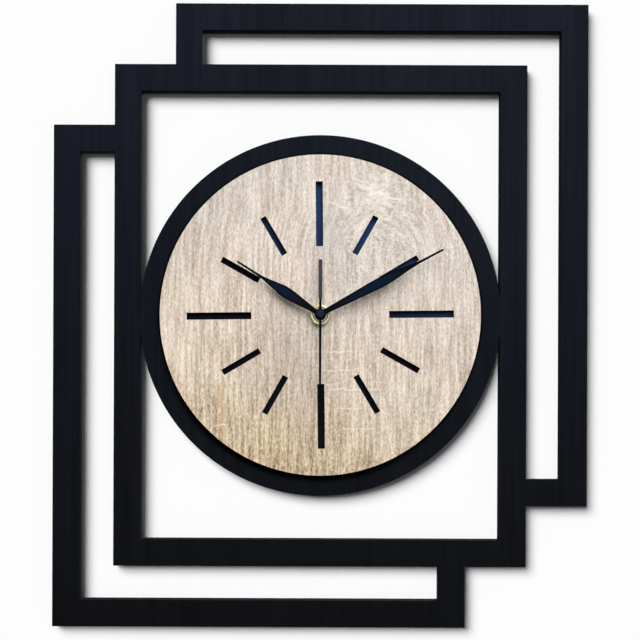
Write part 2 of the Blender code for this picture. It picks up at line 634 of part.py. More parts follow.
def movement_case():
    """Front shell of the movement with the cell bay, posts, stud and front pivots."""
    half_width = CASE_HALF_WIDTH
    half_height = CASE_HALF_HEIGHT
    outline = rounded(-half_width, -half_height, half_width, half_height, (CASE_CORNER,) * 4)
    piece = prism("movement_case", [outline], 0, CASE_DEPTH)
    inner = INNER_HALF_WIDTH
    works_outline = rectangle(-inner, PARTITION_HIGH, inner, half_height - CASE_WALL)
    works = prism("case_works", [works_outline], -SEAT, FRONT_FLOOR, collection=CUTTERS)
    bay_outline = rectangle(-inner, -half_height + CASE_WALL, inner, PARTITION_LOW)
    bay = prism("case_bay", [bay_outline], -SEAT, CASE_DEPTH - BAY_FLOOR, collection=CUTTERS)
    step_outline = rectangle(-half_width - SINK, COVER_LOW, half_width + SINK, half_height + SINK)
    step = prism("case_step", [step_outline], -SEAT, RIM, collection=CUTTERS)
    bore = rod("case_bore", THREAD_CLEARANCE, FRONT_FLOOR - SEAT, CASE_DEPTH + SEAT, collection=CUTTERS)
    notches = []
    for side, low, high in (("left", -inner, -CONTACT_X), ("right", CONTACT_X, inner)):
        notch = rectangle(low - SINK, PARTITION_LOW - SINK, high + SINK, PARTITION_HIGH + SINK)
        notches.append(prism("case_notch_" + side, [notch], -SEAT, STRIP_FRONT + SEAT, collection=CUTTERS))
    combine(piece, [works, bay, step, bore] + notches, "DIFFERENCE")
    root = FRONT_FLOOR + SINK
    posts = [rod(f"plate_post_{k}", POST_RADIUS, PLATE_BACK + GEAR_PLATE + SEAT, root, at=at,
                 steps=SMALL_STEPS, collection=CUTTERS) for k, at in enumerate(PLATE_POSTS)]
    posts += [rod(f"board_post_{k}", BOARD_POST_RADIUS, BOARD_BACK + BOARD_THICKNESS + SEAT, root, at=at,
                  steps=SMALL_STEPS, collection=CUTTERS) for k, at in enumerate(BOARD_POSTS)]
    core_front = CORE_BACK + STATOR_THICKNESS
    screw_hole = MOTOR_SCREW_RADIUS + RUN
    for k, at in enumerate(MOTOR_SCREWS):
        posts.append(rod(f"motor_post_{k}", screw_hole + BOSS_WALL + SEAT, core_front + SEAT, root, at=at,
                         steps=SMALL_STEPS, collection=CUTTERS))
    shoulder = FRONT_FLOOR - 2 * SEAT
    stud_back = CENTRE_LEVEL + WHEEL + SEAT
    stud = [(0, root), (STUD_RADIUS + BOSS_WALL, root), (STUD_RADIUS + BOSS_WALL, shoulder),
            (STUD_RADIUS, shoulder), (STUD_RADIUS, stud_back), (0, stud_back)]
    posts.append(turned("reverser_stud", stud, REVERSER_AT, SMALL_STEPS, collection=CUTTERS))
    bosses = [blind_boss(name, at, radius + RUN, root, FRONT_PIVOT - PIVOT_DEPTH, FRONT_PIVOT + SEAT)
              for name, at, radius in (("third_boss", THIRD_AT, PIVOT_RADIUS),
                                       ("setter_boss", SETTER_AT, SETTER_RADIUS))]
    combine(piece, posts + [boss for boss, _ in bosses], "UNION")
    holes = [hole for _, hole in bosses]
    thread_end = core_front + 2 * SEAT + MOTOR_SCREW_BITE
    holes += [rod(f"motor_thread_{k}", screw_hole, core_front, thread_end, at=at, steps=SMALL_STEPS,
                  collection=CUTTERS) for k, at in enumerate(MOTOR_SCREWS)]
    combine(piece, holes, "DIFFERENCE")
    painted(piece, BLACK_PLASTIC, 0.5)


def rear_cover():
    """Cover over the works, with a well for the setting knob and blind holes for the rear pivots."""
    half_width = CASE_HALF_WIDTH
    corners = (0, CASE_CORNER, CASE_CORNER, 0)
    outline = rounded(-half_width, COVER_LOW + SEAT, half_width, CASE_HALF_HEIGHT, corners)
    piece = prism("rear_cover", [outline], 0, COVER_THICKNESS)
    well_radius = KNOB_RADIUS + SEAT
    well_floor = KNOB_RECESS + KNOB_HEIGHT + SEAT
    root = COVER_THICKNESS - SINK
    cup = rod("knob_cup", well_radius + WELL_WALL, root, well_floor + WELL_WALL, at=SETTER_AT,
              collection=CUTTERS)
    bosses = [blind_boss(name, at, radius + RUN, root, REAR_PIVOT + PIVOT_DEPTH, REAR_PIVOT - SEAT)
              for name, at, radius in (("second_boss", AXIS, SECOND_ARBOR_RADIUS),
                                       ("intermediate_boss", INTERMEDIATE_AT, PIVOT_RADIUS),
                                       ("rotor_boss", ROTOR_AT, PIVOT_RADIUS))]
    combine(piece, [cup] + [boss for boss, _ in bosses], "UNION")
    well = rod("knob_well", well_radius, -SEAT, well_floor, at=SETTER_AT, collection=CUTTERS)
    bore = rod("knob_bore", SETTER_RADIUS + RUN, well_floor - SEAT, well_floor + WELL_WALL + SEAT,
               at=SETTER_AT, steps=SMALL_STEPS, collection=CUTTERS)
    combine(piece, [well, bore] + [hole for _, hole in bosses], "DIFFERENCE")
    painted(piece, BLACK_PLASTIC, 0.5)


def gear_plate():
    """Plate between the front and rear wheels that holds their inner pivots."""
    hub_hole = SECOND_PINION * MODULE / 2 + ADDENDUM * MODULE + SEAT
    holes = [circle(hub_hole, SMALL_STEPS), circle(SETTER_RADIUS + RUN, SMALL_STEPS, SETTER_AT)]
    holes += [circle(PIVOT_RADIUS + RUN, SMALL_STEPS, at) for at in (THIRD_AT, INTERMEDIATE_AT, ROTOR_AT)]
    outline = rectangle(PLATE_LEFT, PLATE_LOW, PLATE_RIGHT, PLATE_TOP)
    piece = prism("gear_plate", [outline] + holes, PLATE_BACK, PLATE_BACK + GEAR_PLATE)
    painted(piece, NATURAL_PLASTIC, 0.5)


def circuit():
    """Board with its covered chip and the quartz crystal."""
    right = BOARD_LEFT + BOARD_WIDTH
    board = prism("circuit_board", [rectangle(BOARD_LEFT, BOARD_LOW, right, BOARD_TOP)],
                  BOARD_BACK, BOARD_BACK + BOARD_THICKNESS)
    painted(board, BOARD_GREEN, 0.45)
    middle = (BOARD_LEFT + right) / 2
    top = BOARD_BACK - SEAT
    dome = [(0, top)] + [(CHIP_RADIUS * out, top - CHIP_HEIGHT * up) for out, up in CHIP_DOME]
    painted(turned("timer_chip", dome, (middle, CHIP_Z), SMALL_STEPS), BLACK_PLASTIC, 0.3)
    centre = (middle, -(top - CRYSTAL_RADIUS), CRYSTAL_Z)
    can = [(0, CRYSTAL_LENGTH), (CRYSTAL_RADIUS, CRYSTAL_LENGTH), (CRYSTAL_RADIUS, 0), (0, 0)]
    painted(turned("quartz_crystal", can, centre, SMALL_STEPS, along="Z"), NICKEL, 0.25, 1.0)


def motor():
    """Stator, coil core, bobbin, winding and the two screws of the stepping motor."""
    left, right = MOTOR_SCREWS[0][0], MOTOR_SCREWS[1][0]
    half_leg = STATOR_LEG / 2
    low = ROTOR_AT[1] - half_leg
    high = COIL_Z + half_leg
    outer = rectangle(left - half_leg, low, right + half_leg, high)
    window = rectangle(left + half_leg, ROTOR_AT[1] + half_leg, right - half_leg, high + SINK)
    front = STATOR_BACK + STATOR_THICKNESS
    stator = prism("stator", [outer], STATOR_BACK, front)
    gap = prism("stator_window", [window], STATOR_BACK - SINK, front + SINK, collection=CUTTERS)
    eye_radius = MAGNET_RADIUS + MAGNET_GAP
    eye = rod("stator_eye", eye_radius + STATOR_EYE_WALL, STATOR_BACK, front, at=ROTOR_AT, collection=CUTTERS)
    bore = rod("stator_bore", eye_radius, STATOR_BACK - SINK, front + SINK, at=ROTOR_AT, collection=CUTTERS)
    screw_hole = MOTOR_SCREW_RADIUS + RUN
    holes = [rod(f"stator_hole_{k}", screw_hole, STATOR_BACK - SINK, front + SINK, at=at,
                 steps=SMALL_STEPS, collection=CUTTERS) for k, at in enumerate(MOTOR_SCREWS)]
    combine(stator, [gap], "DIFFERENCE")
    combine(stator, [eye], "UNION")
    combine(stator, [bore] + holes, "DIFFERENCE")
    painted(stator, DARK_STEEL, 0.4, 1.0)
    core_half = CORE_WIDTH / 2
    bar = rectangle(left - half_leg, COIL_Z - core_half, right + half_leg, COIL_Z + core_half)
    core_holes = [circle(screw_hole, SMALL_STEPS, at) for at in MOTOR_SCREWS]
    core_front = CORE_BACK + STATOR_THICKNESS
    painted(prism("coil_core", [bar] + core_holes, CORE_BACK, core_front), DARK_STEEL, 0.4, 1.0)
    core_y = -(CORE_BACK + core_front) / 2

    def section(half_y, half_z):
        return rectangle(core_y - half_y, COIL_Z - half_z, core_y + half_y, COIL_Z + half_z)

    bore_y = STATOR_THICKNESS / 2 + SEAT
    bore_z = core_half + SEAT
    start = MOTOR_X - COIL_LENGTH / 2
    end = MOTOR_X + COIL_LENGTH / 2
    side = COIL_SIDE / 2
    bobbin = prism("coil_bobbin", [section(side, side), section(bore_y, bore_z)], start, end, facing="X")
    barrel_y = bore_y + BOBBIN_WALL
    barrel_z = bore_z + BOBBIN_WALL
    waist_outline = [section(side + SINK, side + SINK), section(barrel_y, barrel_z)]
    waist = prism("bobbin_waist", waist_outline, start + COIL_FLANGE, end - COIL_FLANGE, facing="X",
                  collection=CUTTERS)
    combine(bobbin, [waist], "DIFFERENCE")
    painted(bobbin, WHITE_PLASTIC, 0.5)
    around = section(side - WINDING_INSET, side - WINDING_INSET)
    inside = section(barrel_y + RUN, barrel_z + RUN)
    winding = prism("coil_winding", [around, inside], start + COIL_FLANGE + RUN, end - COIL_FLANGE - RUN,
                    facing="X")
    painted(winding, COPPER, 0.35, 0.6)
    head_front = STATOR_BACK - SEAT
    head_back = head_front - MOTOR_SCREW_RADIUS
    tip = core_front + SEAT + MOTOR_SCREW_BITE
    profile = [(0, tip), (MOTOR_SCREW_RADIUS, tip), (MOTOR_SCREW_RADIUS, head_front),
               (MOTOR_SCREW_HEAD, head_front), (MOTOR_SCREW_HEAD, head_back), (0, head_back)]
    for name, at in zip(("motor_screw_left", "motor_screw_right"), MOTOR_SCREWS):
        painted(turned(name, profile, at, SMALL_STEPS), STEEL, 0.3, 1.0)


def contacts():
    """Sheet contacts at both ends of the cell, each with a strip over the partition to the board."""
    leaf_low = CELL_Z - CONTACT_REACH
    leaf_high = CELL_Z + CONTACT_REACH
    leaf_back = CELL_DEPTH - CONTACT_REACH
    leaf_front = CELL_DEPTH + CONTACT_REACH
    strip_z = PARTITION_HIGH + SEAT
    strip_top = strip_z + CONTACT_THICKNESS
    board_end = BOARD_LOW + BOARD_LAP
    for name, side, top in (("positive_contact", -1, board_end), ("negative_contact", 1, strip_top + SINK)):
        low, high = sorted((side * CONTACT_X, side * (CONTACT_X + CONTACT_THICKNESS)))
        outline = [(-leaf_front, leaf_low), (-leaf_back, leaf_low), (-leaf_back, leaf_high - STRIP_WIDTH),
                   (-STRIP_BACK, leaf_high - STRIP_WIDTH), (-STRIP_BACK, top), (-STRIP_FRONT, top),
                   (-STRIP_FRONT, leaf_high), (-leaf_front, leaf_high)]
        piece = prism(name, [outline], low, high, facing="X")
        if side == 1:
            strip = rectangle(BOARD_LEFT + BOARD_WIDTH - SINK, strip_z, low + SINK, strip_top)
            tool = prism(name + "_strip", [strip], STRIP_BACK + SINK, STRIP_FRONT - SINK, collection=CUTTERS)
            combine(piece, [tool], "UNION")
        painted(piece, NICKEL, 0.3, 1.0)


def battery():
    """One round cell lying in the bay, its nub to the left as the clock is looked at."""
    start = -(CELL_LENGTH + CELL_NUB) / 2
    body = start + CELL_NUB
    end = body + CELL_LENGTH
    inner = CELL_RADIUS - CELL_EDGE
    profile = [(0, end), (inner, end), (CELL_RADIUS, end - CELL_EDGE), (CELL_RADIUS, body + CELL_EDGE),
               (inner, body), (CELL_NUB_RADIUS, body), (CELL_NUB_RADIUS, start), (0, start)]
    cell = turned("battery_cell", profile, (0, -CELL_DEPTH, CELL_Z), along="X")
    painted(cell, CELL_JACKET, 0.35, 0.3)
    pivot("battery_slide", (0, CELL_Z), [cell])


def toothed_disc(name, teeth, module, first, bore, level, at, front=None, **options):
    """A toothed wheel with a round bore, or none."""
    outlines = [toothed(teeth, module, first)]
    if bore:
        outlines.append(circle(bore, SMALL_STEPS))
    return prism(name, outlines, level, front or level + WHEEL, at=at, **options)


def running_train():
    """Rotor, intermediate wheel, second wheel, third wheel and centre wheel."""
    second_tooth = 0.0
    intermediate_tooth = meshing(second_tooth, SECOND_TEETH, INTERMEDIATE_PINION, INTERMEDIATE_BEARING)
    rotor_tooth = meshing(0.0, INTERMEDIATE_TEETH, ROTOR_TEETH, ROTOR_BEARING)
    third_tooth = meshing(0.0, SECOND_PINION, THIRD_TEETH, THIRD_BEARING)
    centre_tooth = meshing(0.0, THIRD_PINION, CENTRE_TEETH, THIRD_BEARING + math.pi)

    arbor = rod("rotor_pinion", PIVOT_RADIUS, REAR_PIVOT, PLATE_PIVOT_FRONT, at=ROTOR_AT, steps=SMALL_STEPS)
    teeth = toothed_disc("rotor_teeth", ROTOR_TEETH, ROTOR_MODULE, rotor_tooth, 0, ROTOR_LEVEL, ROTOR_AT,
                         ROTOR_LEVEL + WHEEL + PINION_PROUD, collection=CUTTERS)
    painted(combine(arbor, [teeth], "UNION"), WHITE_PLASTIC, 0.45)
    magnet = ring("rotor_magnet", MAGNET_RADIUS, PIVOT_RADIUS + RUN, MAGNET_BACK, MAGNET_BACK + MAGNET_HEIGHT,
                  at=ROTOR_AT)
    painted(magnet, DARK_STEEL, 0.3, 1.0)
    pivot("rotor_spin", ROTOR_AT, [arbor, magnet])

    wheel = toothed_disc("intermediate_wheel", INTERMEDIATE_TEETH, ROTOR_MODULE, 0.0, 0, ROTOR_LEVEL,
                         INTERMEDIATE_AT)
    pinion = toothed_disc("intermediate_pinion", INTERMEDIATE_PINION, MODULE, intermediate_tooth, 0,
                          ROTOR_LEVEL + WHEEL - SINK, INTERMEDIATE_AT, SECOND_LEVEL + WHEEL + PINION_PROUD,
                          collection=CUTTERS)
    stem = rod("intermediate_arbor", PIVOT_RADIUS, REAR_PIVOT, PLATE_PIVOT_FRONT, at=INTERMEDIATE_AT,
               steps=SMALL_STEPS, collection=CUTTERS)
    painted(combine(wheel, [pinion, stem], "UNION"), WHITE_PLASTIC, 0.45)
    pivot("intermediate_spin", INTERMEDIATE_AT, [wheel])

    bore = SECOND_ARBOR_RADIUS + PRESS
    wheel = toothed_disc("second_wheel", SECOND_TEETH, MODULE, second_tooth, bore, SECOND_LEVEL, AXIS)
    pinion = toothed_disc("second_pinion", SECOND_PINION, MODULE, 0.0, bore, SECOND_LEVEL + WHEEL - SINK, AXIS,
                          THIRD_LEVEL + WHEEL + PINION_PROUD / 2, collection=CUTTERS)
    painted(combine(wheel, [pinion], "UNION"), NATURAL_PLASTIC, 0.45)

    stem = rod("third_wheel", PIVOT_RADIUS, PLATE_BACK + SEAT, FRONT_PIVOT, at=THIRD_AT, steps=SMALL_STEPS)
    rim = toothed_disc("third_rim", THIRD_TEETH, MODULE, third_tooth, 0, THIRD_LEVEL, THIRD_AT,
                       collection=CUTTERS)
    pinion = toothed_disc("third_pinion", THIRD_PINION, CENTRE_MODULE, 0.0, 0, THIRD_LEVEL + WHEEL - SINK,
                          THIRD_AT, CENTRE_LEVEL + WHEEL + PINION_PROUD, collection=CUTTERS)
    painted(combine(stem, [rim, pinion], "UNION"), WHITE_PLASTIC, 0.45)
    pivot("third_spin", THIRD_AT, [stem])

    centre = toothed_disc("centre_wheel", CENTRE_TEETH, CENTRE_MODULE, centre_tooth, CLUTCH_RADIUS + RUN,
                          CENTRE_LEVEL, AXIS)
    painted(centre, NATURAL_PLASTIC, 0.45)
    pivot("centre_spin", AXIS, [centre])
    return wheel


def motion_work():
    """Minute arbor with its pinion, reversing wheel, hour wheel and setting knob."""
    cannon_tooth = 0.0
    reverser_tooth = meshing(cannon_tooth, CANNON_TEETH, REVERSER_TEETH, REVERSER_BEARING)
    hour_tooth = meshing(0.0, REVERSER_PINION, HOUR_TEETH, REVERSER_BEARING + math.pi)
    setter_tooth = meshing(reverser_tooth, REVERSER_TEETH, SETTER_TEETH, REVERSER_BEARING)

    arbor_back = CENTRE_LEVEL
    profile = [(MINUTE_TUBE_RADIUS, MINUTE_TUBE_FRONT), (MINUTE_TUBE_RADIUS, CANNON_LEVEL),
               (CLUTCH_RADIUS, CANNON_LEVEL - SEAT), (CLUTCH_RADIUS, arbor_back),
               (SECOND_CLEARANCE, arbor_back), (SECOND_CLEARANCE, MINUTE_TUBE_FRONT)]
    minute = turned("minute_arbor", profile, closed=True)
    cannon = toothed_disc("cannon_pinion", CANNON_TEETH, MODULE, cannon_tooth, SECOND_CLEARANCE + SINK,
                          CANNON_LEVEL - LEVEL_GAP / 2, AXIS, CANNON_LEVEL + WHEEL, collection=CUTTERS)
    painted(combine(minute, [cannon], "UNION"), WHITE_PLASTIC, 0.45)

    bore = STUD_RADIUS + TUBE_PLAY
    reverser = toothed_disc("reversing_wheel", REVERSER_TEETH, MODULE, reverser_tooth, bore, CANNON_LEVEL,
                            REVERSER_AT)
    pinion = toothed_disc("reversing_pinion", REVERSER_PINION, HOUR_MODULE, 0.0, bore,
                          CANNON_LEVEL + WHEEL - SINK, REVERSER_AT, HOUR_LEVEL + WHEEL + PINION_PROUD / 2,
                          collection=CUTTERS)
    painted(combine(reverser, [pinion], "UNION"), WHITE_PLASTIC, 0.45)
    pivot("reversing_spin", REVERSER_AT, [reverser])

    hour_back = HOUR_LEVEL - PINION_PROUD / 2
    profile = [(HOUR_TUBE_RADIUS, HOUR_TUBE_FRONT), (HOUR_TUBE_RADIUS, hour_back),
               (HOUR_TUBE_BORE, hour_back), (HOUR_TUBE_BORE, HOUR_TUBE_FRONT)]
    hour = turned("hour_wheel", profile, closed=True)
    rim = toothed_disc("hour_rim", HOUR_TEETH, HOUR_MODULE, hour_tooth, HOUR_TUBE_BORE + SINK, HOUR_LEVEL,
                       AXIS, collection=CUTTERS)
    painted(combine(hour, [rim], "UNION"), WHITE_PLASTIC, 0.45)

    knob_front = KNOB_RECESS + KNOB_HEIGHT
    setter_back = KNOB_RECESS + 3 * SEAT
    setter = rod("setting_pinion", SETTER_RADIUS, setter_back, FRONT_PIVOT, at=SETTER_AT, steps=SMALL_STEPS)
    teeth = toothed_disc("setter_teeth", SETTER_TEETH, MODULE, setter_tooth, 0, CANNON_LEVEL, SETTER_AT,
                         collection=CUTTERS)
    painted(combine(setter, [teeth], "UNION"), WHITE_PLASTIC, 0.45)
    rib_module = 2 * KNOB_RADIUS / (KNOB_RIBS + 2 * ADDENDUM)
    knob = toothed_disc("setting_knob", KNOB_RIBS, rib_module, 0.0, 0, KNOB_RECESS, SETTER_AT, knob_front)
    socket = rod("knob_socket", SETTER_RADIUS + RUN, setter_back - SEAT, knob_front + SEAT, at=SETTER_AT,
                 steps=SMALL_STEPS, collection=CUTTERS)
    painted(combine(knob, [socket], "DIFFERENCE"), BLACK_PLASTIC, 0.45)
    pivot("setting_spin", SETTER_AT, [setter, knob])
    return minute, hour


def blade(length, width, shape):
    """Stations of a hand's blade as (distance from the axis, half width)."""
    return [(length * along, width * across / 2) for along, across in shape]


def hand_outline(hub, blades):
    """A round hub with a blade at each bearing, anticlockwise from straight up."""
    points = []
    count = len(blades)
    for k, (bearing, stations) in enumerate(blades):
        upright = bearing + math.pi / 2
        beyond = [station for station in stations if station[0] > hub]
        for side, row in ((-1, beyond), (1, beyond[::-1])):
            for distance, half in row:
                across = away(AXIS, side * half, upright + math.pi / 2)
                points.append(away(across, distance, upright))
        following, next_stations = blades[(k + 1) % count]
        whole_turn = 2 * math.pi if k == count - 1 else 0
        start = upright + math.asin(stations[0][1] / hub)
        end = following + math.pi / 2 - math.asin(next_stations[0][1] / hub) + whole_turn
        arc = max(6, round(ROUND_STEPS * (end - start) / (2 * math.pi)))
        points += [away(AXIS, hub, start + (end - start) * j / arc) for j in range(arc + 1)]
    return points


def hands(second_wheel, minute_arbor, hour_wheel):
    """Hour, minute and second hands on their arbors, each carried by the empty on its axis."""
    hour_bore = HOUR_TUBE_RADIUS + RUN
    hour_hub = hour_bore + HUB_WALL
    hour_blade = blade(HOUR_LENGTH, HOUR_WIDTH, HOUR_SHAPE)
    outline = hand_outline(hour_hub, [(HOUR_ANGLE, hour_blade)])
    hour = prism("hour_hand", [outline, circle(hour_bore)], HOUR_HAND_BACK, HOUR_HAND_BACK + HAND_THICKNESS)
    collar = ring("hour_collar", hour_hub - SINK / 2, hour_bore + SINK / 2, HOUR_COLLAR_BACK,
                  HOUR_HAND_BACK + SINK, collection=CUTTERS)
    painted(combine(hour, [collar], "UNION"), HAND_NAVY, 0.4, 0.3)
    pivot("hour_spin", AXIS, [hour, hour_wheel])

    minute_bore = MINUTE_TUBE_RADIUS + RUN
    minute_hub = minute_bore + MINUTE_HUB_WALL
    minute_blade = blade(MINUTE_LENGTH, MINUTE_WIDTH, MINUTE_SHAPE)
    outline = hand_outline(minute_hub, [(MINUTE_ANGLE, minute_blade)])
    minute = prism("minute_hand", [outline, circle(minute_bore)], MINUTE_HAND_BACK,
                   MINUTE_HAND_BACK + HAND_THICKNESS)
    collar = ring("minute_collar", minute_bore + HUB_WALL, minute_bore + SINK / 2, MINUTE_COLLAR_BACK,
                  MINUTE_HAND_BACK + SINK, collection=CUTTERS)
    painted(combine(minute, [collar], "UNION"), HAND_NAVY, 0.4, 0.3)
    pivot("minute_spin", AXIS, [minute, minute_arbor])

    pipe_bore = SECOND_ARBOR_RADIUS + RUN
    needle = [(0, NEEDLE_WIDTH / 2), (NEEDLE_LENGTH, NEEDLE_TIP / 2)]
    tail = [(0, NEEDLE_WIDTH / 2), (TAIL_NECK - SINK, NEEDLE_WIDTH / 2), (TAIL_NECK + SINK, TAIL_WIDTH / 2),
            (TAIL_LENGTH, TAIL_WIDTH / 2)]
    outline = hand_outline(SECOND_CAP_RADIUS, [(SECOND_ANGLE - math.pi, tail), (SECOND_ANGLE, needle)])
    second = prism("second_hand", [outline, circle(SECOND_PIPE_RADIUS + RUN)], SECOND_HAND_BACK,
                   SECOND_HAND_BACK + HAND_THICKNESS)
    painted(second, HAND_NAVY, 0.4, 0.3)
    bore_end = SECOND_CAP_BACK + RUN
    profile = [(0, SECOND_CAP_FRONT), (SECOND_CAP_RADIUS - SINK, SECOND_CAP_FRONT),
               (SECOND_CAP_RADIUS, SECOND_CAP_FRONT - SINK), (SECOND_CAP_RADIUS, SECOND_CAP_BACK),
               (SECOND_PIPE_RADIUS, SECOND_CAP_BACK), (SECOND_PIPE_RADIUS, SECOND_PIPE_BACK),
               (pipe_bore, SECOND_PIPE_BACK), (pipe_bore, bore_end), (0, bore_end)]
    cap = painted(turned("second_hand_cap", profile), HAND_NAVY, 0.4, 0.3)
    arbor = rod("second_arbor", SECOND_ARBOR_RADIUS, REAR_PIVOT, bore_end - RUN, steps=SMALL_STEPS)
    painted(arbor, STEEL, 0.25, 1.0)
    pivot("second_spin", AXIS, [second, cap, arbor, second_wheel])


clear_scene()
PARTS = new_collection("wall_clock")
CUTTERS = new_collection("cutters")
frame_panel()
dial()
hanger()
fasteners()
movement_case()
rear_cover()
gear_plate()
circuit()
motor()
contacts()
battery()
SECOND_WHEEL = running_train()
MINUTE_ARBOR, HOUR_WHEEL = motion_work()
hands(SECOND_WHEEL, MINUTE_ARBOR, HOUR_WHEEL)
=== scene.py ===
import json
import math

import bmesh
import bpy
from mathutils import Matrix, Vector

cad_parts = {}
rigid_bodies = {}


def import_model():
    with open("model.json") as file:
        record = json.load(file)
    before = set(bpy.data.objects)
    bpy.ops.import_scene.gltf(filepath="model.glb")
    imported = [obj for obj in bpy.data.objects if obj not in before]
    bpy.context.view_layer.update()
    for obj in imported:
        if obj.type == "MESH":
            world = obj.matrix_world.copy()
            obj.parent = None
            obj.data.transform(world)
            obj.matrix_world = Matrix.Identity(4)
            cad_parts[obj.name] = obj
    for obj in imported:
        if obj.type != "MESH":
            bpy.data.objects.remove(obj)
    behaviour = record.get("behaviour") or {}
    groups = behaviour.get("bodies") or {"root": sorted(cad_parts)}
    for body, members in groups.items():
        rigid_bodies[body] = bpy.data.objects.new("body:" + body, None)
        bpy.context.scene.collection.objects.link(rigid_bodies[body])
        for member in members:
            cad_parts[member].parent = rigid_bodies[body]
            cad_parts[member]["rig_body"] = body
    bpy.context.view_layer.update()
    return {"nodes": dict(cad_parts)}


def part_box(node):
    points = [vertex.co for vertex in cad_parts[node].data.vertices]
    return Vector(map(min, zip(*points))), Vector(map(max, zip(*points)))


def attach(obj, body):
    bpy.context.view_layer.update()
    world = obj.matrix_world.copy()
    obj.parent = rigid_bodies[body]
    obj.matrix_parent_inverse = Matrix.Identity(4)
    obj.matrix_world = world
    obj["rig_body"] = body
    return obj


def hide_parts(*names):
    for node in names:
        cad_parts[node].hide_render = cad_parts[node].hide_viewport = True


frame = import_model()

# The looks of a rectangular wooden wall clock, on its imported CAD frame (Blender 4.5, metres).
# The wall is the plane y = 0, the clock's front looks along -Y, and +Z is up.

MM = 0.001

# The photograph's frame
VIEW_LENS = 51.25
VIEW_PLACE = (0.0, -0.5447, -0.0400)
VIEW_SHIFT = 0.1025
VIEW_ROLL = -0.22


class Finish:
    """One material: a Principled shader, and short calls for the nodes that feed it."""

    def __init__(self, name, colour, roughness, metallic=0.0, specular=0.5):
        self.material = bpy.data.materials.new(name + "_finish")
        self.material.use_nodes = True
        self.tree = self.material.node_tree
        self.shader = self.tree.nodes["Principled BSDF"]
        self.set("Base Color", (*colour, 1.0))
        self.set("Roughness", roughness)
        self.set("Metallic", metallic)
        self.set("Specular IOR Level", specular)
        self.place = self.node("TexCoord").outputs["Object"]
        self.material.diffuse_color = (*colour, 1.0)

    def set(self, key, value):
        """Sets or links one input of the shader."""
        self.feed(self.shader.inputs[key], value)

    def feed(self, socket, value):
        """Links a socket to an input, or sets the input to a constant."""
        if isinstance(value, bpy.types.NodeSocket):
            self.tree.links.new(value, socket)
        else:
            socket.default_value = value

    def node(self, kind, inputs=(), **settings):
        """A new node of that kind; inputs pairs the name or number of an input with what feeds it."""
        made = self.tree.nodes.new("ShaderNode" + kind)
        for key, value in settings.items():
            setattr(made, key, value)
        for key, value in dict(inputs).items():
            self.feed(made.inputs[key], value)
        return made

    def math(self, operation, a, b=0.0):
        """One step of arithmetic."""
        return self.node("Math", {0: a, 1: b}, operation=operation).outputs[0]

    def total(self, a, share_a, b, share_b=1.0):
        """Two values, each times its share, added up."""
        return self.math("ADD", self.math("MULTIPLY", a, share_a), self.math("MULTIPLY", b, share_b))

    def noise(self, scale, detail=3.0, roughness=0.5, distortion=0.0, turn=0.0, place=None):
        """Noise from 0 to 1, at place or the object's own coordinates, scaled, then turned about Y."""
        inputs = {"Vector": place or self.place, "Scale": scale}
        inputs["Rotation"] = (0.0, math.radians(turn), 0.0)
        inputs = {"Vector": self.node("Mapping", inputs).outputs[0], "Scale": 1.0, "Detail": detail}
        inputs.update({"Roughness": roughness, "Distortion": distortion})
        return self.node("TexNoise", inputs).outputs["Fac"]

    def span(self, value, low, high, to_low=0.0, to_high=1.0):
        """Maps low to high onto to_low to to_high, without going past them."""
        inputs = {"Value": value, "From Min": low, "From Max": high, "To Min": to_low, "To Max": to_high}
        return self.node("MapRange", inputs).outputs[0]

    def mix(self, share, a, b, blend="MIX"):
        """Mixes two colours."""
        made = self.node("Mix", data_type="RGBA", blend_type=blend)
        for key, value in ((0, share), (6, a), (7, b)):
            if isinstance(value, tuple) and len(value) == 3:
                value = (*value, 1.0)
            self.feed(made.inputs[key], value)
        return made.outputs[2]

    def parts(self, vector):
        """The x, y and z of a vector."""
        return self.node("SeparateXYZ", {0: vector}).outputs

    def vector(self, x, y, z):
        """A vector from its parts."""
        return self.node("CombineXYZ", {0: x, 1: y, 2: z}).outputs[0]

    def length(self, x, z):
        """The length of a step across the dial."""
        return self.node("VectorMath", {0: self.vector(x, 0.0, z)}, operation="LENGTH").outputs["Value"]

    def bump(self, height, depth, strength=1.0):
        """Adds relief of that depth in metres on top of what is there."""
        made = self.node("Bump", {"Height": height, "Distance": depth, "Strength": strength})
        before = self.shader.inputs["Normal"].links
        if before:
            self.feed(made.inputs["Normal"], before[0].from_socket)
        self.set("Normal", made.outputs[0])

    def radius(self):
        """The distance from the hands' axis."""
        x, y, z = self.parts(self.place)
        return self.length(x, z)

    def facing(self):
        """The surface's own direction, before any bump."""
        return self.node("NewGeometry").outputs["True Normal"]


# Paint on the board: a painted navy sheen of light where the dial's slots show it, stronger towards the
# upper right, and a painted shadow of the dial, wide round its lower left and thin all round.
# A lean is how much x counts beside z where a colour changes along a slant.
DIAL_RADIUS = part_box("dial")[1].x
# Painted sheen in the slots: where it fades in under the dial, its lean and span, and its dark and navy
# ends
SLOT_PAINTED_SHEEN_EDGE = (DIAL_RADIUS - 3.5 * MM, DIAL_RADIUS - 3.0 * MM)
SLOT_PAINTED_SHEEN_LEAN = 0.6
SLOT_PAINTED_SHEEN_SPAN = (4.0 * MM, 56.0 * MM)
SLOT_PAINTED_SHEEN_TONES = ((0.0035, 0.0045, 0.0085), (0.0165, 0.0430, 0.1120))
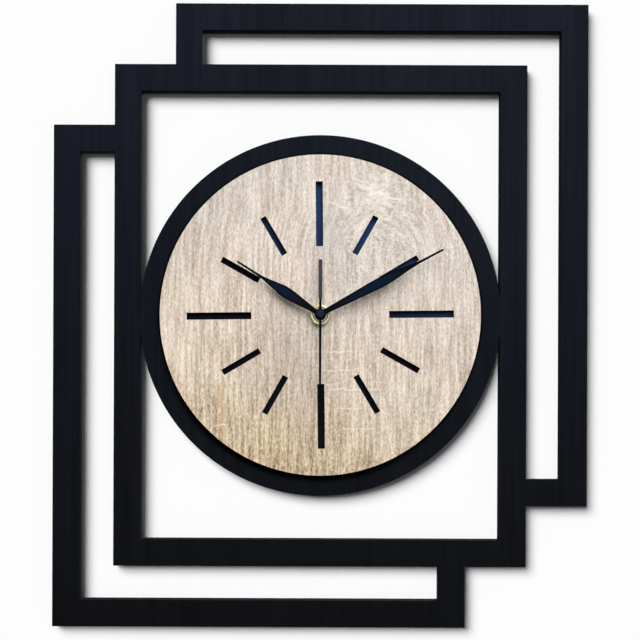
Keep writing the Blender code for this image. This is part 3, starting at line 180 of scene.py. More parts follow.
# Painted shadow of the dial on the board: its lean and span, its wide and thin bands, and its colour
DIAL_PAINTED_SHADOW_LEAN = 0.26
DIAL_PAINTED_SHADOW_SPAN = (-0.95 * DIAL_RADIUS, -0.5 * DIAL_RADIUS)
DIAL_PAINTED_SHADOW_WIDE = (DIAL_RADIUS + 2.0 * MM, DIAL_RADIUS + 4.8 * MM)
DIAL_PAINTED_SHADOW_THIN = (DIAL_RADIUS + 0.9 * MM, DIAL_RADIUS + 2.2 * MM)
DIAL_PAINTED_SHADOW = (0.0003, 0.0003, 0.0004)

# The stain in the grain's dark and light lines, each at the foot and at the top of the board; the top's
# bluer, lighter tone is painted sheen of light from above
DARK_GRAIN_AND_PAINTED_SHEEN = ((0.0014, 0.0015, 0.0019), (0.0032, 0.0045, 0.0082))
LIGHT_GRAIN_AND_PAINTED_SHEEN = ((0.0034, 0.0038, 0.0050), (0.0069, 0.0099, 0.0186))
CUT_WALL = (0.0012, 0.0010, 0.0009)


def black_board():
    """Black-stained board: a painted bluish sheen above, neutral below, faint upright grain, charred cut
    walls, painted sheen where the slots show the board and a painted shadow round the dial.
    """
    made = Finish("black_board", (0.0045, 0.0055, 0.0090), 0.56, specular=0.035)
    grain = made.noise((420.0, 60.0, 11.0), detail=5.0, roughness=0.62)
    pores = made.noise((1500.0, 200.0, 60.0), detail=2.0)
    cloud = made.noise((14.0, 14.0, 9.0))
    tone = made.total(made.span(grain, 0.30, 0.70), 0.75, cloud, 0.5)
    x, y, z = made.parts(made.place)
    low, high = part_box("frame_panel")
    # Painted sheen: the board turns bluer and lighter from the foot to the top
    rise = made.span(z, low.z, high.z)
    dark = made.mix(rise, *DARK_GRAIN_AND_PAINTED_SHEEN)
    light = made.mix(rise, *LIGHT_GRAIN_AND_PAINTED_SHEEN)
    face = made.mix(made.span(tone, 0.25, 0.95), dark, light)
    backwards = made.parts(made.facing())["Y"]
    front = made.span(backwards, -0.8, -0.5, 1.0, 0.0)
    # Painted sheen: navy on the front face under the dial, stronger towards the upper right, seen through
    # the slots
    slot_painted_sheen = made.math("MULTIPLY", made.span(made.radius(), *SLOT_PAINTED_SHEEN_EDGE, 1.0, 0.0), front)
    lean = made.span(made.total(x, SLOT_PAINTED_SHEEN_LEAN, z), *SLOT_PAINTED_SHEEN_SPAN)
    face = made.mix(slot_painted_sheen, face, made.mix(lean, *SLOT_PAINTED_SHEEN_TONES))
    # Painted shadow of the dial: wide round its lower left, thin all round, with less specular in it
    foot = made.span(made.total(x, DIAL_PAINTED_SHADOW_LEAN, z), *DIAL_PAINTED_SHADOW_SPAN, 1.0, 0.0)
    dial_painted_shadow = made.math("MULTIPLY", made.span(made.radius(), *DIAL_PAINTED_SHADOW_WIDE, 0.95, 0.0), foot)
    dial_painted_shadow = made.math("MAXIMUM", dial_painted_shadow, made.span(made.radius(), *DIAL_PAINTED_SHADOW_THIN, 0.90, 0.0))
    dial_painted_shadow = made.math("MULTIPLY", dial_painted_shadow, made.math("SUBTRACT", front, slot_painted_sheen))
    face = made.mix(dial_painted_shadow, face, DIAL_PAINTED_SHADOW)
    made.set("Specular IOR Level", made.span(dial_painted_shadow, 0.0, 1.0, 0.035, 0.003))
    flat = made.span(made.math("ABSOLUTE", backwards), 0.5, 0.8)
    made.set("Base Color", made.mix(flat, CUT_WALL, face))
    shine = made.span(made.noise((60.0, 30.0, 18.0), detail=4.0), 0.3, 0.7, 0.50, 0.64)
    made.set("Roughness", made.span(flat, 0.0, 1.0, 0.85, shine))
    made.bump(grain, 0.06 * MM, 0.6)
    made.bump(pores, 0.03 * MM, 0.5)
    return made.material


# The oak's dark and light fibres: above, lower down, and at the foot of the dial; the cooler top and the
# warmer, darker foot are painted light, cool from above and warm from below
OAK_DARK = ((0.445, 0.365, 0.300), (0.330, 0.240, 0.155), (0.155, 0.102, 0.054))
OAK_LIGHT = ((0.985, 0.915, 0.835), (0.990, 0.860, 0.680), (0.985, 0.830, 0.575))
PAINTED_WARMTH_LEAN = 0.22
BURNT_WALL = (0.020, 0.013, 0.009)

# Places on the dial are (x, z) in mm from the hands' axis
KNOT_AT = (33.0, 34.0)
KNOT_REACH = 24.0 * MM
KNOT_HEART = 13.0 * MM

# Where cream flecks and rays lie: the middle, the reach (x, z) and how strongly they show
FLECKS = ((34.0, 68.0), (26.0, 26.0), 0.65)
RAYS = ((19.0, -42.0), (34.0, 34.0), 0.40)

# Where the oak is greyer: the middle, the reach, and what its colour is multiplied by; the first, below
# left of the hub, is partly the board's own tone and partly painted shade of the hour hand and hub
GREYED_AND_SHADED = (
    ((-17.0, -26.0), (36.0, 44.0), (0.87, 0.865, 0.885)),
    ((7.5, 36.0), (17.0, 36.0), (0.79, 0.80, 0.83)),
    ((-23.0, -62.0), (14.0, 22.0), (0.90, 0.88, 0.82)),
)
# Where it is paler: the middle, the reach, and how far its colour goes to PALE_OAK
PALER = (
    ((34.0, -65.0), (18.0, 20.0), 0.18),
    ((47.0, 20.0), (15.0, 18.0), 0.18),
    ((-84.0, -18.0), (18.0, 50.0), 0.22),
)
PALE_OAK = (0.96, 0.87, 0.74)

# Marks that stand out in the grain: start, end, half width in mm, how strongly they show, and colour
CREAM = (0.95, 0.88, 0.77)
MARKS = (
    ((20.0, 74.0), (34.0, 68.5), 1.0, 0.75, CREAM),
    ((32.0, 69.5), (46.0, 65.0), 1.1, 0.75, CREAM),
    ((34.0, 68.0), (40.0, 61.0), 0.8, 0.60, CREAM),
    ((4.0, 64.0), (18.0, 60.0), 0.9, 0.60, CREAM),
    ((37.0, 55.0), (42.0, 59.5), 1.2, 0.55, CREAM),
    ((-56.5, -38.0), (-54.5, -72.0), 2.6, 0.50, (0.56, 0.33, 0.15)),
    ((-62.0, -62.6), (-51.5, -62.2), 0.8, 0.70, (0.93, 0.78, 0.58)),
    ((-10.0, -20.9), (27.0, -20.5), 0.55, 0.50, (0.94, 0.85, 0.72)),
    ((2.0, -31.6), (20.0, -31.4), 0.55, 0.50, (0.94, 0.85, 0.72)),
    ((3.0, -42.4), (39.0, -42.0), 0.60, 0.55, (0.94, 0.84, 0.70)),
    ((7.0, -53.1), (25.0, -52.9), 0.55, 0.50, (0.94, 0.83, 0.68)),
    ((12.0, -64.4), (33.0, -64.2), 0.60, 0.50, (0.94, 0.82, 0.66)),
)


def offset(made, at):
    """How far a point is to the right of a place on the dial, and above it."""
    x, y, z = made.parts(made.place)
    return made.math("SUBTRACT", x, at[0] * MM), made.math("SUBTRACT", z, at[1] * MM)


def within(made, at, reach, share=1.0, core=0.3):
    """share about a place on the dial, out to core of its reach, and 0 from its reach on."""
    beside, above = offset(made, at)
    beside = made.math("DIVIDE", beside, reach[0] * MM)
    above = made.math("DIVIDE", above, reach[1] * MM)
    return made.span(made.length(beside, above), core, 1.0, share, 0.0)


def mark(made, start, end, half, ragged):
    """A soft, ragged mark between two places on the dial."""
    length = math.dist(start, end)
    along_x = (end[0] - start[0]) / length
    along_z = (end[1] - start[1]) / length
    beside, above = offset(made, start)
    run = made.total(beside, along_x, above, along_z)
    off = made.total(above, along_x, beside, -along_z)
    off = made.math("ABSOLUTE", made.total(ragged, min(1.0, half / 1.6), off))
    across = made.span(off, 0.3 * half * MM, half * MM, 1.0, 0.0)
    past = made.math("ABSOLUTE", made.math("SUBTRACT", run, 0.5 * length * MM))
    past = made.math("ADD", past, ragged)
    inside = made.span(past, 0.30 * length * MM, 0.56 * length * MM, 1.0, 0.0)
    return made.math("MULTIPLY", across, inside)


def oak_flow(made):
    """The ways that the grain follows: straight, arched over the knot, and how far the arch shows."""
    x, y, z = made.parts(made.place)
    beside, above = offset(made, KNOT_AT)
    gap = made.length(beside, above)
    arch = made.length(beside, made.span(above, 0.0, KNOT_REACH, 0.0, 0.9 * KNOT_REACH))
    wander = made.noise((90.0, 20.0, 32.0), roughness=0.6)
    loose = made.span(gap, 0.8 * KNOT_REACH, 1.8 * KNOT_REACH, 4.0 * MM, 1.6 * MM)
    wave = made.math("MULTIPLY", made.math("SUBTRACT", wander, 0.5), loose)
    straight = made.vector(made.math("ADD", beside, wave), x, z)
    arched = made.vector(made.math("ADD", arch, wave), x, z)
    return straight, arched, made.span(gap, 0.6 * KNOT_HEART, 1.3 * KNOT_HEART)


def oak_board():
    """Pale oak grain: fine upright fibres that arch over a knot, flecks and rays, and burnt cut walls."""
    made = Finish("oak_board", (0.66, 0.58, 0.48), 0.52, specular=0.25)
    straight, arched, ringed = oak_flow(made)

    def grain(scale, detail, roughness):
        """Noise along the arched way, and along the straight one in the knot's heart."""
        pair = [made.noise(scale, detail=detail, roughness=roughness, place=way)
                for way in (straight, arched)]
        step = made.math("MULTIPLY", made.math("SUBTRACT", pair[1], pair[0]), ringed)
        return made.math("ADD", pair[0], step)

    streak = grain((620.0, 120.0, 44.0), 1.0, 0.4)
    fibre = grain((1150.0, 260.0, 560.0), 1.5, 0.5)
    pore = made.noise((4200.0, 800.0, 380.0), roughness=0.6)
    band = made.noise((110.0, 30.0, 9.0), detail=2.0)
    value = made.total(made.span(streak, 0.29, 0.71), 0.52, made.span(fibre, 0.29, 0.71), 0.50)
    value = made.math("ADD", value, made.span(band, 0.30, 0.70, -0.07, 0.07))
    value = made.math("ADD", value, made.span(pore, 0.32, 0.68, -0.17, 0.17))
    tone = oak_tone(made, value)
    flat = made.span(made.math("ABSOLUTE", made.parts(made.facing())["Y"]), 0.5, 0.8)
    made.set("Base Color", made.mix(flat, BURNT_WALL, tone))
    made.set("Roughness", made.span(streak, 0.3, 0.7, 0.62, 0.46))
    made.bump(streak, 0.05 * MM, 0.5)
    made.bump(fibre, 0.03 * MM, 0.5)
    made.bump(pore, 0.01 * MM, 0.5)
    return made.material


def oak_tone(made, value):
    """The oak's colour where value, 0 in a dark fibre and 1 in a light one, gives the grain."""
    x, y, z = made.parts(made.place)
    low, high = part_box("dial")
    # Painted light along a slant: cool at the top, warmer lower down, darkest at the foot
    slant = made.total(x, PAINTED_WARMTH_LEAN, z)
    painted_warmth = made.span(slant, low.z, 0.45 * high.z, 1.0, 0.0)
    foot = made.span(slant, low.z, 0.5 * low.z, 1.0, 0.0)
    dark, light = [made.mix(foot, made.mix(painted_warmth, upper, lower), lowest)
                   for upper, lower, lowest in (OAK_DARK, OAK_LIGHT)]
    tone = made.mix(made.span(value, 0.0, 1.0), dark, light)

    # Slow changes of hue: side to side, the top left corner, greyer places, one partly painted shade, and
    # paler places
    side = made.mix(made.span(x, 0.8 * low.x, 0.6 * high.x), (1.0, 0.985, 0.955), (0.95, 0.95, 0.94))
    tone = made.mix(1.0, tone, side, blend="MULTIPLY")
    corner = made.span(made.math("SUBTRACT", z, x), 0.9 * high.z, 1.35 * high.z)
    tone = made.mix(corner, tone, (0.90, 0.92, 0.93), blend="MULTIPLY")
    for at, reach, grey in GREYED_AND_SHADED:
        tone = made.mix(within(made, at, reach), tone, grey, blend="MULTIPLY")
    for at, reach, share in PALER:
        tone = made.mix(within(made, at, reach, share), tone, PALE_OAK)
    hue = made.noise((95.0, 60.0, 60.0), detail=2.0)
    tone = made.mix(made.span(hue, 0.35, 0.65), tone, (1.0, 0.955, 0.945), blend="MULTIPLY")

    # Clouds and pale curls about the knot, and dark lens-shaped flecks that thicken downwards
    gap = made.length(*offset(made, KNOT_AT))
    near = made.span(gap, 0.7 * KNOT_REACH, 1.8 * KNOT_REACH, 1.0, 0.0)
    cloud = made.noise((130.0, 60.0, 110.0), distortion=0.8)
    cloud = made.math("MULTIPLY", made.span(cloud, 0.42, 0.62, 0.0, 0.45), near)
    tone = made.mix(cloud, tone, (0.66, 0.66, 0.70), blend="MULTIPLY")
    curl = made.noise((330.0, 120.0, 420.0), detail=2.0, distortion=2.2, turn=20.0)
    curl = made.math("MULTIPLY", made.span(curl, 0.50, 0.62, 0.0, 0.62), near)
    tone = made.mix(curl, tone, (0.94, 0.88, 0.78))
    lens = made.noise((820.0, 200.0, 215.0), detail=1.0, distortion=0.3, turn=-6.0)
    thick = made.span(slant, low.z, 0.3 * high.z, 0.55, 0.10)
    lens = made.math("MULTIPLY", made.span(lens, 0.60, 0.68), thick)
    tone = made.mix(lens, tone, (0.50, 0.44, 0.40), blend="MULTIPLY")

    # Cream flecks and rays, and the single marks
    fleck = made.noise((210.0, 90.0, 480.0), detail=4.0, distortion=1.3, turn=14.0)
    fleck = made.math("MULTIPLY", made.span(fleck, 0.53, 0.62), within(made, *FLECKS, core=0.2))
    tone = made.mix(fleck, tone, (0.93, 0.87, 0.78))
    ray = made.noise((160.0, 40.0, 700.0), detail=2.0, distortion=0.3)
    ray = made.math("MULTIPLY", made.span(ray, 0.56, 0.66), within(made, *RAYS))
    tone = made.mix(ray, tone, (0.90, 0.79, 0.64))
    ragged = made.noise((260.0, 90.0, 260.0))
    ragged = made.math("MULTIPLY", made.math("SUBTRACT", ragged, 0.5), 9.0 * MM)
    for start, end, half, share, colour in MARKS:
        shown = made.math("MULTIPLY", mark(made, start, end, half, ragged), share)
        tone = made.mix(shown, tone, colour)
    return tone


def near_edge(made, bearing, length, width, shape):
    """1 in the border of a hand's blade, whose bearing runs in degrees from the top towards -X."""
    turn = math.radians(bearing)
    x, y, z = made.parts(made.place)
    run = made.total(x, -math.sin(turn), z, math.cos(turn))
    off = made.total(x, math.cos(turn), z, math.sin(turn))
    room = made.math("SUBTRACT", 0.5 * width * shape[0][1] * MM, made.math("ABSOLUTE", off))
    for (start, low), (end, high) in zip(shape, shape[1:]):
        change = 0.5 * width * (high - low) * MM
        room = made.math("ADD", room, made.span(run, start * length * MM, end * length * MM, 0.0, change))
    return made.span(room, 0.70 * MM, 1.20 * MM, 1.0, 0.0)


def hand_metal(name, stops, lengthwise=False, specular=0.02, blade=None):
    """Lacquer whose colour changes at stops: mm from the axis, or mm up if lengthwise, and colour; on the
    hands' faces the stops hold a painted bluish sheen over black.
    """
    made = Finish(name, stops[0][1], 0.40, specular=specular)
    reach = made.parts(made.place)["Z"] if lengthwise else made.radius()
    tone = stops[0][1]
    for (start, _), (end, colour) in zip(stops, stops[1:]):
        tone = made.mix(made.span(reach, start * MM, end * MM), tone, colour)
    cloud = made.noise((120.0, 120.0, 120.0))
    tone = made.mix(made.span(cloud, 0.35, 0.75, 0.0, 0.35), tone, HAND_CLOUD)
    if blade:
        # The blade's border keeps the black lacquer, without the painted sheen
        tone = made.mix(made.math("MULTIPLY", near_edge(made, *blade), 0.9), tone, BORDER_BLACK)
    made.set("Base Color", tone)
    marks = made.noise((700.0, 700.0, 700.0), detail=2.0)
    made.set("Roughness", made.span(marks, 0.3, 0.7, 0.34, 0.48))
    made.bump(marks, 0.006 * MM, 0.5)
    return made.material


def brushed_metal(name, colour, roughness):
    """A metal with fine marks along one way and a slow change of colour."""
    made = Finish(name, colour, roughness, metallic=1.0)
    marks = made.noise((900.0, 900.0, 60.0))
    cloud = made.noise((160.0, 160.0, 160.0))
    darker = tuple(0.80 * part for part in colour)
    made.set("Base Color", made.mix(made.span(cloud, 0.3, 0.7), darker, colour))
    made.set("Roughness", made.span(marks, 0.3, 0.7, roughness - 0.08, roughness + 0.08))
    made.bump(marks, 0.01 * MM, 0.5)
    return made.material


def moulded(name, colour, roughness, scale=2600.0, depth=0.02, wax=0.0, specular=0.4):
    """A moulded plastic: a fine even texture, slight clouding, and some light let in if it has wax."""
    made = Finish(name, colour, roughness, specular=specular)
    texture = made.noise((scale, scale, scale), detail=2.0)
    cloud = made.noise((90.0, 90.0, 90.0))
    lighter = tuple(min(1.0, 1.12 * part + 0.004) for part in colour)
    made.set("Base Color", made.mix(made.span(cloud, 0.35, 0.65), colour, lighter))
    made.set("Roughness", made.span(cloud, 0.3, 0.7, roughness - 0.05, roughness + 0.07))
    if wax:
        made.set("Subsurface Weight", wax)
        made.set("Subsurface Radius", (0.6, 0.5, 0.4))
        made.set("Subsurface Scale", 0.6 * MM)
    made.bump(texture, depth * MM, 0.6)
    return made.material


def printed_jacket(name, colour):
    """A shrunk film with a pale band at the positive end, two thin lines and a faintly uneven gloss."""
    made = Finish(name, colour, 0.30, specular=0.35)
    x, y, z = made.parts(made.place)
    cloud = made.noise((60.0, 200.0, 200.0))
    tone = made.mix(made.span(cloud, 0.3, 0.7), colour, tuple(1.25 * part for part in colour))
    for low_x, high_x, ink in PRINTED_BANDS:
        past = made.math("GREATER_THAN", x, low_x * MM)
        short = made.math("LESS_THAN", x, high_x * MM)
        tone = made.mix(made.math("MULTIPLY", past, short), tone, ink)
    made.set("Base Color", tone)
    made.set("Roughness", made.span(cloud, 0.3, 0.7, 0.24, 0.38))
    made.bump(made.noise((140.0, 500.0, 500.0)), 0.02 * MM, 0.5)
    return made.material


# Bands printed round the cell: from x to x in mm, and their colour
PRINTED_BANDS = (
    (-24.2, -16.5, (0.42, 0.43, 0.44)),
    (-16.5, -16.1, (0.020, 0.022, 0.026)),
    (21.6, 22.0, (0.42, 0.43, 0.44)),
)

HAND_BLACK = (0.0020, 0.0024, 0.0036)
HAND_CLOUD = (0.0020, 0.0030, 0.0050)
BORDER_BLACK = (0.0010, 0.0011, 0.0016)

# A hand's blade: bearing, length and width in mm, then (share of the length, share of the width) along it
HOUR_BLADE = (57.7, 55.3, 6.4, (
    (0.07, 0.39), (0.16, 0.59), (0.24, 0.75), (0.34, 0.94), (0.42, 1.0), (0.47, 0.94),
    (0.53, 0.72), (0.60, 0.52), (0.65, 0.36), (0.71, 0.23), (0.78, 0.20), (1.0, 0.16),
))
MINUTE_BLADE = (-62.1, 77.9, 6.0, (
    (0.06, 0.48), (0.17, 0.63), (0.29, 0.77), (0.40, 0.92), (0.51, 1.0), (0.58, 0.88),
    (0.64, 0.68), (0.69, 0.50), (0.76, 0.33), (0.80, 0.23), (1.0, 0.18),
))

# A hand's colours, black lacquer with a painted bluish sheen of light: mm from the axis, or mm up for the
# second hand, and the colour there
HAND_PAINTED_SHEEN = (
    (6.0, (0.0040, 0.0038, 0.0055)),
    (14.0, (0.0050, 0.0062, 0.0110)),
    (24.0, (0.0030, 0.0105, 0.0260)),
    (36.0, (0.0035, 0.0125, 0.0350)),
    (48.0, (0.0025, 0.0080, 0.0190)),
    (56.0, HAND_BLACK),
)
# Painted sheen: the second hand's tail lighter slate than its black needle
SECOND_PAINTED_SHEEN = (
    (8.0, HAND_BLACK),
    (9.5, (0.0480, 0.0600, 0.0860)),
    (30.0, (0.0600, 0.0620, 0.0760)),
)
# Painted sheen: the cap lighter navy in its middle than at its rim
CAP_PAINTED_SHEEN = (
    (0.0, (0.0105, 0.0200, 0.0550)),
    (2.1, (0.0085, 0.0140, 0.0380)),
)

# Metals: colour and roughness; the darker brass that the washer wears is painted shade under the nut
METALS = {
    "brass": ((0.50, 0.47, 0.30), 0.30),
    "brass_painted_shade": ((0.37, 0.34, 0.21), 0.42),
    "plated_steel": ((0.62, 0.63, 0.64), 0.33),
    "small_steel": ((0.56, 0.56, 0.57), 0.28),
    "motor_steel": ((0.46, 0.46, 0.47), 0.40),
    "magnet": ((0.20, 0.20, 0.21), 0.45),
    "nickel": ((0.66, 0.64, 0.60), 0.25),
    "copper": ((0.72, 0.30, 0.14), 0.30),
    "solder": ((0.58, 0.58, 0.57), 0.34),
}

# Plastics, rubber, inks and mask: colour, roughness, and the settings that differ from moulded's own
PLASTICS = {
    "rubber": ((0.022, 0.022, 0.023), 0.80, {"scale": 1500.0}),
    "black_plastic": ((0.016, 0.016, 0.018), 0.50, {"depth": 0.03, "specular": 0.28}),
    "chip_plastic": ((0.012, 0.012, 0.013), 0.30, {}),
    "natural_plastic": ((0.74, 0.70, 0.60), 0.42, {"wax": 0.3}),
    "white_plastic": ((0.82, 0.82, 0.80), 0.38, {"wax": 0.3}),
    "circuit_board": ((0.020, 0.120, 0.060), 0.40, {}),
    "ink": ((0.030, 0.032, 0.036), 0.40, {}),
    "pale_ink": ((0.55, 0.56, 0.57), 0.40, {}),
    "masked_copper": ((0.045, 0.210, 0.105), 0.34, {}),
}

FINISHES = {
    "black_board": black_board(),
    "oak_board": oak_board(),
    "hour_painted_sheen": hand_metal("hour_painted_sheen", HAND_PAINTED_SHEEN, blade=HOUR_BLADE),
    "minute_painted_sheen": hand_metal("minute_painted_sheen", HAND_PAINTED_SHEEN, blade=MINUTE_BLADE),
    "second_painted_sheen": hand_metal("second_painted_sheen", SECOND_PAINTED_SHEEN, lengthwise=True),
    "cap_painted_sheen": hand_metal("cap_painted_sheen", CAP_PAINTED_SHEEN, specular=0.04),
    "hand_edge": hand_metal("hand_edge", ((0.0, HAND_BLACK), (80.0, (0.0030, 0.0036, 0.0050)))),
    "cell_jacket": printed_jacket("cell_jacket", (0.050, 0.078, 0.150)),
}
for name, (colour, roughness) in METALS.items():
    FINISHES[name] = brushed_metal(name, colour, roughness)
for name, (colour, roughness, settings) in PLASTICS.items():
    FINISHES[name] = moulded(name, colour, roughness, **settings)

SLOT_OF = {node: carried.data.materials[0].name for node, carried in frame["nodes"].items()}

# Finishes that differ from their slot's own
FINISH_OF = {
    "hour_hand": "hour_painted_sheen", "minute_hand": "minute_painted_sheen", "second_hand": "second_painted_sheen",
    "second_hand_cap": "cap_painted_sheen", "brass_washer": "brass_painted_shade",
}


def finish_of(node):
    """The material that a node's pieces wear."""
    return FINISHES[FINISH_OF.get(node, SLOT_OF[node])]


def linked(name, data):
    """A new object for a mesh, a lamp or a camera."""
    made = bpy.data.objects.new(name, data)
    bpy.context.scene.collection.objects.link(made)
    return made


def object_of(name, work, material=None):
    """A new object from a bmesh, in that material if there is one."""
    mesh = bpy.data.meshes.new(name)
    work.to_mesh(mesh)
    work.free()
    if material:
        mesh.materials.append(material)
    return linked(name, mesh)


def shade(work, angle=35.0):
    """Shades a bmesh smooth, with its edges past that angle kept sharp."""
    limit = math.radians(angle)
    for face in work.faces:
        face.smooth = True
    for edge in work.edges:
        edge.smooth = edge.calc_face_angle(math.pi) < limit


def soften(piece, width, segments=2, angle=40.0):
    """Rounds a piece's sharp edges by width."""
    bevel = piece.modifiers.new("edges", "BEVEL")
    bevel.width = width
    bevel.segments = segments
    bevel.limit_method = "ANGLE"
    bevel.angle_limit = math.radians(angle)
    bevel.use_clamp_overlap = True
    bevel.harden_normals = True


# Edge rounding for each CAD node that is dressed as it is, in millimetres
EDGES = {
    "frame_panel": 0.20, "dial": 0.15, "hour_hand": 0.42, "minute_hand": 0.48, "second_hand": 0.16,
    "movement_case": 0.25, "rear_cover": 0.20, "gear_plate": 0.10, "hanger": 0.15, "stator": 0.06,
    "coil_core": 0.06, "coil_bobbin": 0.10, "circuit_board": 0.05, "positive_contact": 0.03,
    "negative_contact": 0.03, "rotor_pinion": 0.03, "rotor_magnet": 0.08, "intermediate_wheel": 0.03,
    "second_wheel": 0.03, "third_wheel": 0.03, "centre_wheel": 0.03, "minute_arbor": 0.03,
    "reversing_wheel": 0.03, "hour_wheel": 0.03, "setting_pinion": 0.03, "second_arbor": 0.05,
}

# Hands whose rounded edges wear the hand_edge finish
DARK_EDGED = ("hour_hand", "minute_hand", "second_hand")


def body_of(node):
    """The name of the CAD body that a node rides on."""
    return frame["nodes"][node]["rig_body"]


def carved(piece, cutters):
    """Takes the cutters' shapes out of a piece's mesh, and the cutters out of the scene."""
    for shape in cutters:
        cut = piece.modifiers.new("cut", "BOOLEAN")
        cut.operation = "DIFFERENCE"
        cut.solver = "EXACT"
        cut.object = shape
    graph = bpy.context.evaluated_depsgraph_get()
    mesh = bpy.data.meshes.new_from_object(piece.evaluated_get(graph))
    work = bmesh.new()
    work.from_mesh(mesh)
    shade(work)
    work.to_mesh(mesh)
    work.free()
    piece.modifiers.clear()
    piece.data = mesh
    for shape in cutters:
        bpy.data.objects.remove(shape)


def dressed(node, cutters=()):
    """Copies a CAD node, joins its flat facets, softens its edges and gives it its own finish."""
    work = bmesh.new()
    work.from_mesh(frame["nodes"][node].data)
    bmesh.ops.remove_doubles(work, verts=work.verts, dist=0.002 * MM)
    flat = math.radians(0.5)
    bmesh.ops.dissolve_limit(work, angle_limit=flat, verts=work.verts, edges=work.edges)
    piece = finished(node + "_face", work, node)
    if cutters:
        carved(piece, cutters)
    soften(piece, EDGES[node] * MM)
    if node in DARK_EDGED:
        piece.data.materials.append(FINISHES["hand_edge"])
        piece.modifiers["edges"].material = 1


def finished(name, work, node, finish=None, angle=35.0):
    """Turns a bmesh into a piece that stands for a CAD node, rides with it and wears its finish."""
    bmesh.ops.recalc_face_normals(work, faces=work.faces)
    shade(work, angle)
    piece = object_of(name, work, FINISHES[finish] if finish else finish_of(node))
    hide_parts(node)
    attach(piece, body_of(node))
    return piece


# The hands' axis, as (x, z); the calls below work in millimetres, with depth forward from the wall
AXIS = (0.0, 0.0)


def spot(x, depth, z):
    """A point in millimetres: to the right, forward from the wall, and up."""
    return Vector((x * MM, -depth * MM, z * MM))


def around(radius, steps):
    """The steps of a circle, as (a, b) pairs from its centre."""
    angles = [math.tau * i / steps for i in range(steps)]
    return [(radius * math.cos(angle), radius * math.sin(angle)) for angle in angles]


def circle(radius, depth, at=AXIS, steps=64):
    """Corners round an axis along Y; radius is a number or a function of the angle."""
    corners = []
    for i in range(steps):
        angle = math.tau * i / steps
        reach = radius(angle) if callable(radius) else radius
        corners.append(spot(at[0] + reach * math.sin(angle), depth, at[1] + reach * math.cos(angle)))
    return corners


def skin(work, rings, closed=False):
    """Faces from ring to ring of corners; a closed skin joins its ends, and an open one is capped."""
    rows = [[work.verts.new(corner) for corner in ring] for ring in rings]
    pairs = list(zip(rows, rows[1:]))
    if closed:
        pairs.append((rows[-1], rows[0]))
    else:
        work.faces.new(rows[0])
        work.faces.new(rows[-1])
    for first, second in pairs:
        for i in range(len(first)):
            work.faces.new((first[i - 1], first[i], second[i], second[i - 1]))


def turned(work, section, closed=False, at=AXIS, steps=64):
    """A turned form from (radius, depth) pairs."""
    skin(work, [circle(radius, depth, at, steps) for radius, depth in section], closed)


def prism(work, outline, back, front):
    """A straight form from (x, z) corners, between two depths."""
    skin(work, [[spot(x, depth, z) for x, z in outline] for depth in (back, front)])


def rounded_box(low_x, high_x, low_z, high_z, soft, steps=5):
    """The outline of a rectangle with round corners, or a washer's section, with depth for z."""
    outline = []
    corners = ((low_x + soft, low_z + soft, 180), (high_x - soft, low_z + soft, 270))
    corners += ((high_x - soft, high_z - soft, 0), (low_x + soft, high_z - soft, 90))
    for x, z, start in corners:
        for i in range(steps + 1):
            angle = math.radians(start + 90.0 * i / steps)
            outline.append((x + soft * math.cos(angle), z + soft * math.sin(angle)))
    return outline


def arc_arrow(at, inner, outer, start, end, steps=24):
    """The outline of a curved arrow: degrees run from the top towards +X, and its head is past end."""
    def polar(radius, angle):
        turn = math.radians(angle)
        return at[0] + radius * math.sin(turn), at[1] + radius * math.cos(turn)
    angles = [start + (end - start) * i / steps for i in range(steps + 1)]
    middle = (inner + outer) / 2.0
    wide = 1.3 * (outer - inner)
    tip = end + math.copysign(math.degrees(2.4 * (outer - inner) / middle), end - start)
    outline = [polar(outer, angle) for angle in angles]
    outline += [polar(middle + wide, end), polar(middle, tip), polar(middle - wide, end)]
    outline += [polar(inner, angle) for angle in reversed(angles)]
    return outline


def cutter(outline, back, front):
    """A prism that is only there to be taken out of another piece."""
    work = bmesh.new()
    prism(work, outline, back, front)
    bmesh.ops.recalc_face_normals(work, faces=work.faces)
    return object_of("cutter", work)


def thread(root, crest, pitch, depth):
    """The radius round a screw thread at that depth, as a function of the angle."""
    def reach(angle):
        turn = (depth / pitch + angle / math.tau) % 1.0
        return root + (crest - root) * (1.0 - abs(2.0 * turn - 1.0))
    return reach


def threaded(root, crest, pitch, back, front):
    """The rings of a screw thread between two depths."""
    count = round(6.0 * (front - back) / pitch)
    depths = [back + (front - back) * i / count for i in range(count + 1)]
    return [(thread(root, crest, pitch, depth), depth) for depth in depths]


# The hub in front of the dial, and what clamps the movement to the panel
PITCH = 0.75
NUT_APOTHEM = 5.3
NUT_FACE = 5.05
NUT_SLOPE = 1.8
NUT_BACK = 29.1
NUT_FRONT = 31.1


def hexagon(limit):
    """The radius round a hexagon with corners on the X axis, never past limit."""
    def reach(angle):
        off = (math.degrees(angle) + 30.0) % 60.0 - 30.0
        return min(limit, NUT_APOTHEM / math.cos(math.radians(off)))
    return reach


def hub_cap():
    """The second hand's cap: a domed disc on a short pipe."""
    work = bmesh.new()
    section = [(0.50, 35.7), (1.05, 35.7), (1.05, 36.85), (2.12, 36.85), (2.28, 36.92), (2.30, 37.02)]
    section += [(2.26, 37.10), (2.10, 37.19), (1.70, 37.28), (1.00, 37.33), (0.02, 37.35)]
    section += [(0.02, 36.9), (0.50, 36.9)]
    turned(work, section, closed=True)
    finished("hub_cap", work, "second_hand_cap")


